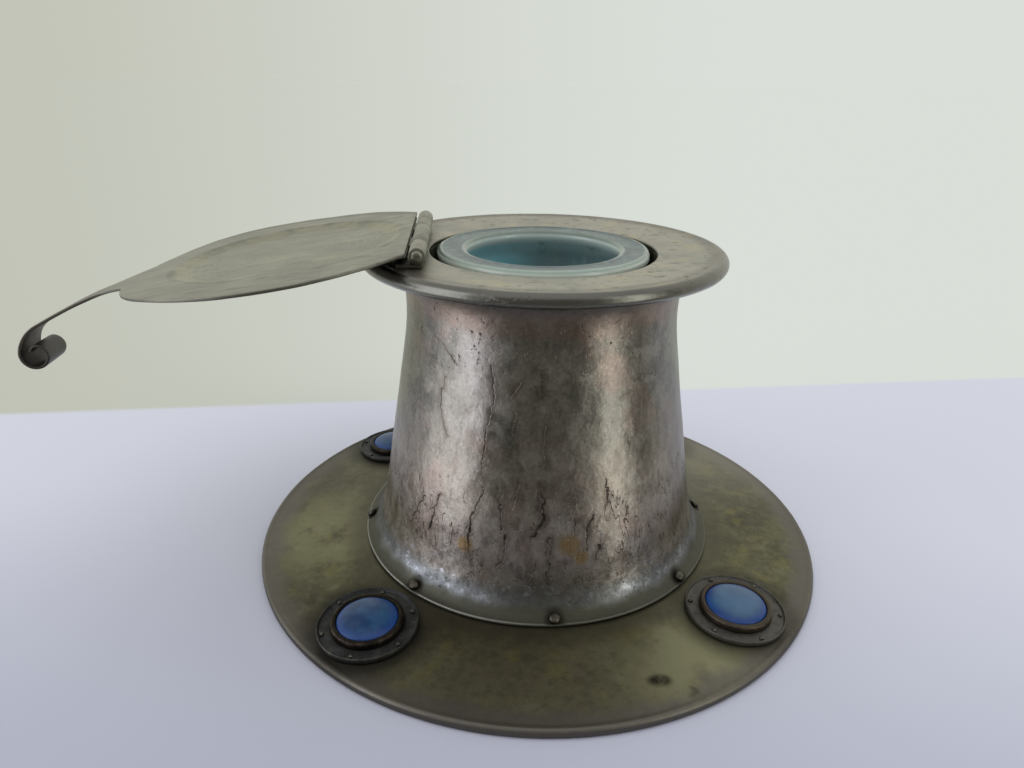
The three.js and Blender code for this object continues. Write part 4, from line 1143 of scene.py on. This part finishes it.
def flat_sheet(outline, disc_count, row_count):
    """The flat sheet's points and faces: a grid along the strip, and rings in to the disc's middle."""
    near = list(range(disc_count, disc_count + row_count))
    tip = list(range(near[-1] + 1, near[-1] + STRIP_COLUMNS))
    # The far side comes back to the disc, so its root is the outline's first point
    far = [0] + list(range(len(outline) - 1, tip[-1], -1))
    sheet = [tuple(p) for p in outline]
    grid = []
    for a, b in zip(near, far):
        between = tip
        if a != near[-1]:
            between = range(len(sheet), len(sheet) + STRIP_COLUMNS - 1)
            across = (outline[b] - outline[a]) / STRIP_COLUMNS
            sheet += [tuple(outline[a] + across * column) for column in range(1, STRIP_COLUMNS)]
        grid.append([a, *between, b])
    faces = []
    for low, high in zip(grid, grid[1:]):
        faces += [[low[c], high[c], high[c + 1], low[c + 1]] for c in range(STRIP_COLUMNS)]
    edge = list(range(disc_count)) + grid[0][:-1]
    centre = np.array([LID_CENTRE, 0.0])
    outer = edge
    for step in range(1, LID_RINGS):
        share = 1 - step / LID_RINGS
        ring = list(range(len(sheet), len(sheet) + len(edge)))
        sheet += [tuple(centre + (np.array(sheet[e]) - centre) * share) for e in edge]
        faces += [[outer[i], outer[i - 1], ring[i - 1], ring[i]] for i in range(len(ring))]
        outer = ring
    faces += [[outer[i], outer[i - 1], len(sheet)] for i in range(len(outer))]
    return sheet + [tuple(centre)], faces


def lid_shape():
    """The lid's points, faces and flat places: two layers of sheet with a rounded edge between them."""
    rows, disc = strip_rows(), disc_outline()
    outline = np.array(disc + strip_outline(rows))
    along = np.roll(outline, -1, axis=0) - np.roll(outline, 1, axis=0)
    along /= np.linalg.norm(along, axis=1)[:, None]
    outward = np.stack([along[:, 1], -along[:, 0]], axis=1)
    inset = outline - EDGE_INSET * outward
    sheet, faces = flat_sheet(inset, len(disc), len(rows))
    count, loop = len(sheet), range(len(outline))
    flat = [(d, s, depth) for depth in (0.0, LID_SHEET) for d, s in sheet]
    faces += [[c + count for c in face[::-1]] for face in faces]
    layers = [list(loop)]
    for out, depth in EDGE_STEPS:
        layers.append([len(flat) + i for i in loop])
        flat += [(*(inset[i] + out * outward[i]), depth) for i in loop]
    layers.append([i + count for i in loop])
    for upper, lower in zip(layers, layers[1:]):
        faces += [[upper[i - 1], upper[i], lower[i], lower[i - 1]] for i in loop]
    points = np.array([lid_place(*place) for place in flat])
    return points, faces, np.array(flat) - np.array([LID_CENTRE, 0, 0])


points, faces, flat_places = lid_shape()
lid = seated((points, faces), lid_frame)
make("curled_lid", lid, "lid_metal", "lid", "lid_assembly", own=flat_places, smooth=60)


# Hinge. Its pieces lie along the pin, and their sizes start from its middle.
HINGE_HALF = 27.0
KNUCKLE_COUNT = 5
KNUCKLE_LENGTH = 10.56
KNUCKLE_PITCH = 10.86
KNUCKLE_RADIUS = 2.3
KNUCKLE_SOFT = 0.28
BORE_RADIUS, BORE_SOFT = 1.15, 0.1
TAB_HALF = 5.1
LEAF_SOFT = 0.2
PIN_SHANK, PIN_HEAD_RADIUS = 1.05, 1.5
PIN_HEAD_START, PIN_HEAD_END = HINGE_HALF + 0.3, HINGE_HALF + 0.9
hinge_frame = Matrix.Translation((HINGE_X, 0, HINGE_HEIGHT))


def along_pin(points, middle=0.0):
    """An upright turned form laid along the pin."""
    return np.stack([points[:, 0], middle - points[:, 2], points[:, 1]], axis=1)


def knuckle_middle(index):
    return (index - (KNUCKLE_COUNT - 1) / 2) * KNUCKLE_PITCH


def knuckle_shape(index):
    half, soft, bore = KNUCKLE_LENGTH / 2, KNUCKLE_SOFT, BORE_RADIUS
    line = [(bore, BORE_SOFT - half), (bore + BORE_SOFT, -half)]
    line += arc(KNUCKLE_RADIUS - soft, soft - half, soft, -90, 90, 4)
    line += arc(KNUCKLE_RADIUS - soft, half - soft, soft, 0, 90, 4)
    line += [(bore + BORE_SOFT, half), (bore, half - BORE_SOFT)]
    points, faces = spin(line, 40, ring=True)
    for point in points:
        point[:2] *= 1 + 0.02 * roughly((point[0], point[1] + 7 * index, point[2]), 3)
    return along_pin(points, knuckle_middle(index)), faces


def slab(low, high):
    """A sheet metal leaf with softened edges."""
    work = bmesh.new()
    bmesh.ops.create_cube(work, size=1)
    low, high = np.array(low, float), np.array(high, float)
    for vertex in work.verts:
        vertex.co = Vector((low + high) / 2 + np.array(vertex.co) * (high - low))
    bmesh.ops.bevel(work, geom=list(work.edges), offset=LEAF_SOFT, segments=3, affect="EDGES")
    points = np.array([tuple(v.co) for v in work.verts])
    faces = [[v.index for v in f.verts] for f in work.faces]
    work.free()
    return points, faces


def leaf_shape(knuckles, heights, leaf_reach, tab_reach):
    """Some of the knuckles, with their leaf along the whole hinge and a tab from it to each."""
    low, high = heights
    forms = [knuckle_shape(index) for index in knuckles]
    forms.append(slab((leaf_reach[0], -HINGE_HALF, low), (leaf_reach[1], HINGE_HALF, high)))
    for index in knuckles:
        middle = knuckle_middle(index)
        forms.append(slab((tab_reach[0], middle - TAB_HALF, low), (tab_reach[1], middle + TAB_HALF, high)))
    return joined(*forms)


def hinge_pin_shape():
    end, start = PIN_HEAD_END, PIN_HEAD_START
    head = bent([(PIN_HEAD_RADIUS, start), (PIN_HEAD_RADIUS, start + 0.4), (1.1, end), (0, end)], 6)
    line = [(r, -h) for r, h in head[::-1]] + [(PIN_SHANK, -start), (PIN_SHANK, start)] + head
    points, faces = spin(line, 32)
    return along_pin(points), faces


collar_leaf = leaf_shape((0, 2, 4), (-3.1, -2.1), (-5.5, -3.1), (-3.4, 1.4))
lid_leaf = leaf_shape((1, 3), (0.02, 0.78), (-5.7, -2.72), (-3.2, -1.75))
make("collar_leaf", seated(collar_leaf, hinge_frame), "dark_metal", "collar_hinge_leaf")
make("lid_leaf", seated(lid_leaf, lid_frame), "dark_metal", "lid_hinge_leaf", "lid_assembly")
make("headed_hinge_pin", seated(hinge_pin_shape(), hinge_frame), "dark_metal", "hinge_pin")


# Floor, with the colours of the photographed table and wall on it, here and in the world
FLOOR_HALF = 12000.0
TABLE_RIGHT, TABLE_LEFT = paint(201, 204, 215), paint(163, 166, 184)
WALL_RIGHT, WALL_LEFT = paint(208, 213, 207), paint(184, 186, 174)
BACKDROP_RIGHT, BACKDROP_LEFT = paint(218, 223, 217), paint(193, 194, 181)
WALL_START, WALL_FULL = 104, 109
CAMERA_X, CAMERA_Y = -23, -211
VIEW_LEFT, VIEW_RIGHT = -0.66, 0.4


def floor_material():
    """A pale table, with painted shade towards its front left. What shines sees through it near the part,
    to the room below.
    """
    material = bpy.data.materials.new("plain_table")
    start = nodes_of(material)
    place = start.node("TexCoord", None, None, "Object").scaled(1 / MM)
    x, y = place.part("X"), place.part("Y")
    # Painted shade: the table darkens towards its front left.
    table = (y + x * 0.15).ease(20, -180).tint(TABLE_LEFT, TABLE_RIGHT)
    side = (x - CAMERA_X) / (x - CAMERA_X).beyond(y - CAMERA_Y)
    wall = side.ease(VIEW_LEFT, VIEW_RIGHT).tint(WALL_RIGHT, WALL_LEFT)
    colour = (y - x * 0.05).ease(WALL_START, WALL_FULL).tint(wall, table)
    cloth = start.node("BsdfDiffuse", None, {"Color": colour})
    clear = start.node("BsdfTransparent")
    glossy = start.node("LightPath", None, None, "Is Glossy Ray")
    reach = x.beyond(y).ease(105, 150) * y.ease(30, -30)
    shader = start.node("MixShader", None, {0: glossy * reach, 1: cloth, 2: clear})
    start.node("OutputMaterial", None, {"Surface": shader})
    return material


reach = FLOOR_HALF * MM
corners = [(-reach, -reach, 0), (reach, -reach, 0), (reach, reach, 0), (-reach, reach, 0)]
floor_mesh = bpy.data.meshes.new("table_top")
floor_mesh.from_pydata(corners, [], [[0, 1, 2, 3]])
floor_mesh.materials.append(floor_material())
floor = bpy.data.objects.new("table_top", floor_mesh)
bpy.context.scene.collection.objects.link(floor)


# Room light. A room has the colours of its wall, its front and overhead, and its windows, each with
# an azimuth, half of its width in degrees, and a colour.
SOFT_ROOM = ((0.80, 0.80, 0.72, 1), (0.11, 0.105, 0.105, 1), (1.45, 1.45, 1.47, 1))
SOFT_WINDOWS = ((191, 19, (1.5, 1.5, 1.53, 1)), (325, 13, (1.25, 1.25, 1.27, 1)))
BRIGHT_ROOM = ((0.76, 0.77, 0.70, 1), (0.195, 0.195, 0.175, 1), (0.6, 0.61, 0.64, 1))
BRIGHT_WINDOWS = ((198, 20, (2.15, 2.22, 2.42, 1)), (321, 7.5, (2.7, 2.75, 2.6, 1)))
WINDOW_EDGE = 3


def light_room():
    """Plain soft light, and for what shines a brighter room with clear windows."""
    world = bpy.data.worlds.new("soft_room")
    bpy.context.scene.world = world
    start = nodes_of(world)
    direction = start.node("TexCoord", None, None, "Generated")
    x, y, z = direction.part("X"), direction.part("Y"), direction.part("Z")
    level = x.beyond(y).most(0.001)

    def room_of(colours, windows):
        wall, front, overhead = colours
        room = y.ease(-0.25, 0.2).tint(wall, front)
        room = z.ease(0.45, 0.85).tint(overhead, room)
        for azimuth, half, colour in windows:
            turn = math.radians(azimuth)
            towards = (x * math.cos(turn) + y * math.sin(turn)) / level
            inner = math.cos(math.radians(half - WINDOW_EDGE))
            outer = math.cos(math.radians(half + WINDOW_EDGE))
            pane = towards.ease(outer, inner) * z.ease(-0.62, -0.42) * z.ease(0.74, 0.6)
            room = pane.tint(colour, room)
        return room

    shines = start.node("LightPath", None, None, "Is Glossy Ray")
    seen = start.node("LightPath", None, None, "Is Camera Ray")
    backdrop = (x / level).ease(VIEW_LEFT, VIEW_RIGHT).tint(BACKDROP_RIGHT, BACKDROP_LEFT)
    room = shines.tint(room_of(BRIGHT_ROOM, BRIGHT_WINDOWS), room_of(SOFT_ROOM, SOFT_WINDOWS))
    shader = start.node("Background", None, {"Color": seen.tint(backdrop, room), "Strength": 1.0})
    start.node("OutputWorld", None, {"Surface": shader})


light_room()


# Camera, as fitted to the photograph. Its place is in metres.
CAMERA_PLACE = (-0.0233, -0.2110, 0.1415)
LOOK, FALL, ROLL = math.radians(86), math.radians(23.05), math.radians(0.74)

camera_data = bpy.data.cameras.new("view")
camera_data.sensor_width = 36.0
camera_data.lens = 25.73
camera_data.clip_start = 0.01
camera_data.clip_end = 60.0
camera = bpy.data.objects.new("view", camera_data)
bpy.context.scene.collection.objects.link(camera)
forward = Vector((math.cos(FALL) * math.cos(LOOK), math.cos(FALL) * math.sin(LOOK), -math.sin(FALL)))
right = forward.cross(Vector((0, 0, 1))).normalized()
up = right.cross(forward)
rolled_right = right * math.cos(ROLL) + up * math.sin(ROLL)
rolled_up = up * math.cos(ROLL) - right * math.sin(ROLL)
turned_camera = Matrix((rolled_right, rolled_up, -forward)).transposed().to_4x4()
camera.matrix_world = Matrix.Translation(CAMERA_PLACE) @ turned_camera
bpy.context.scene.camera = camera
bpy.context.scene.view_settings.view_transform = "Standard"
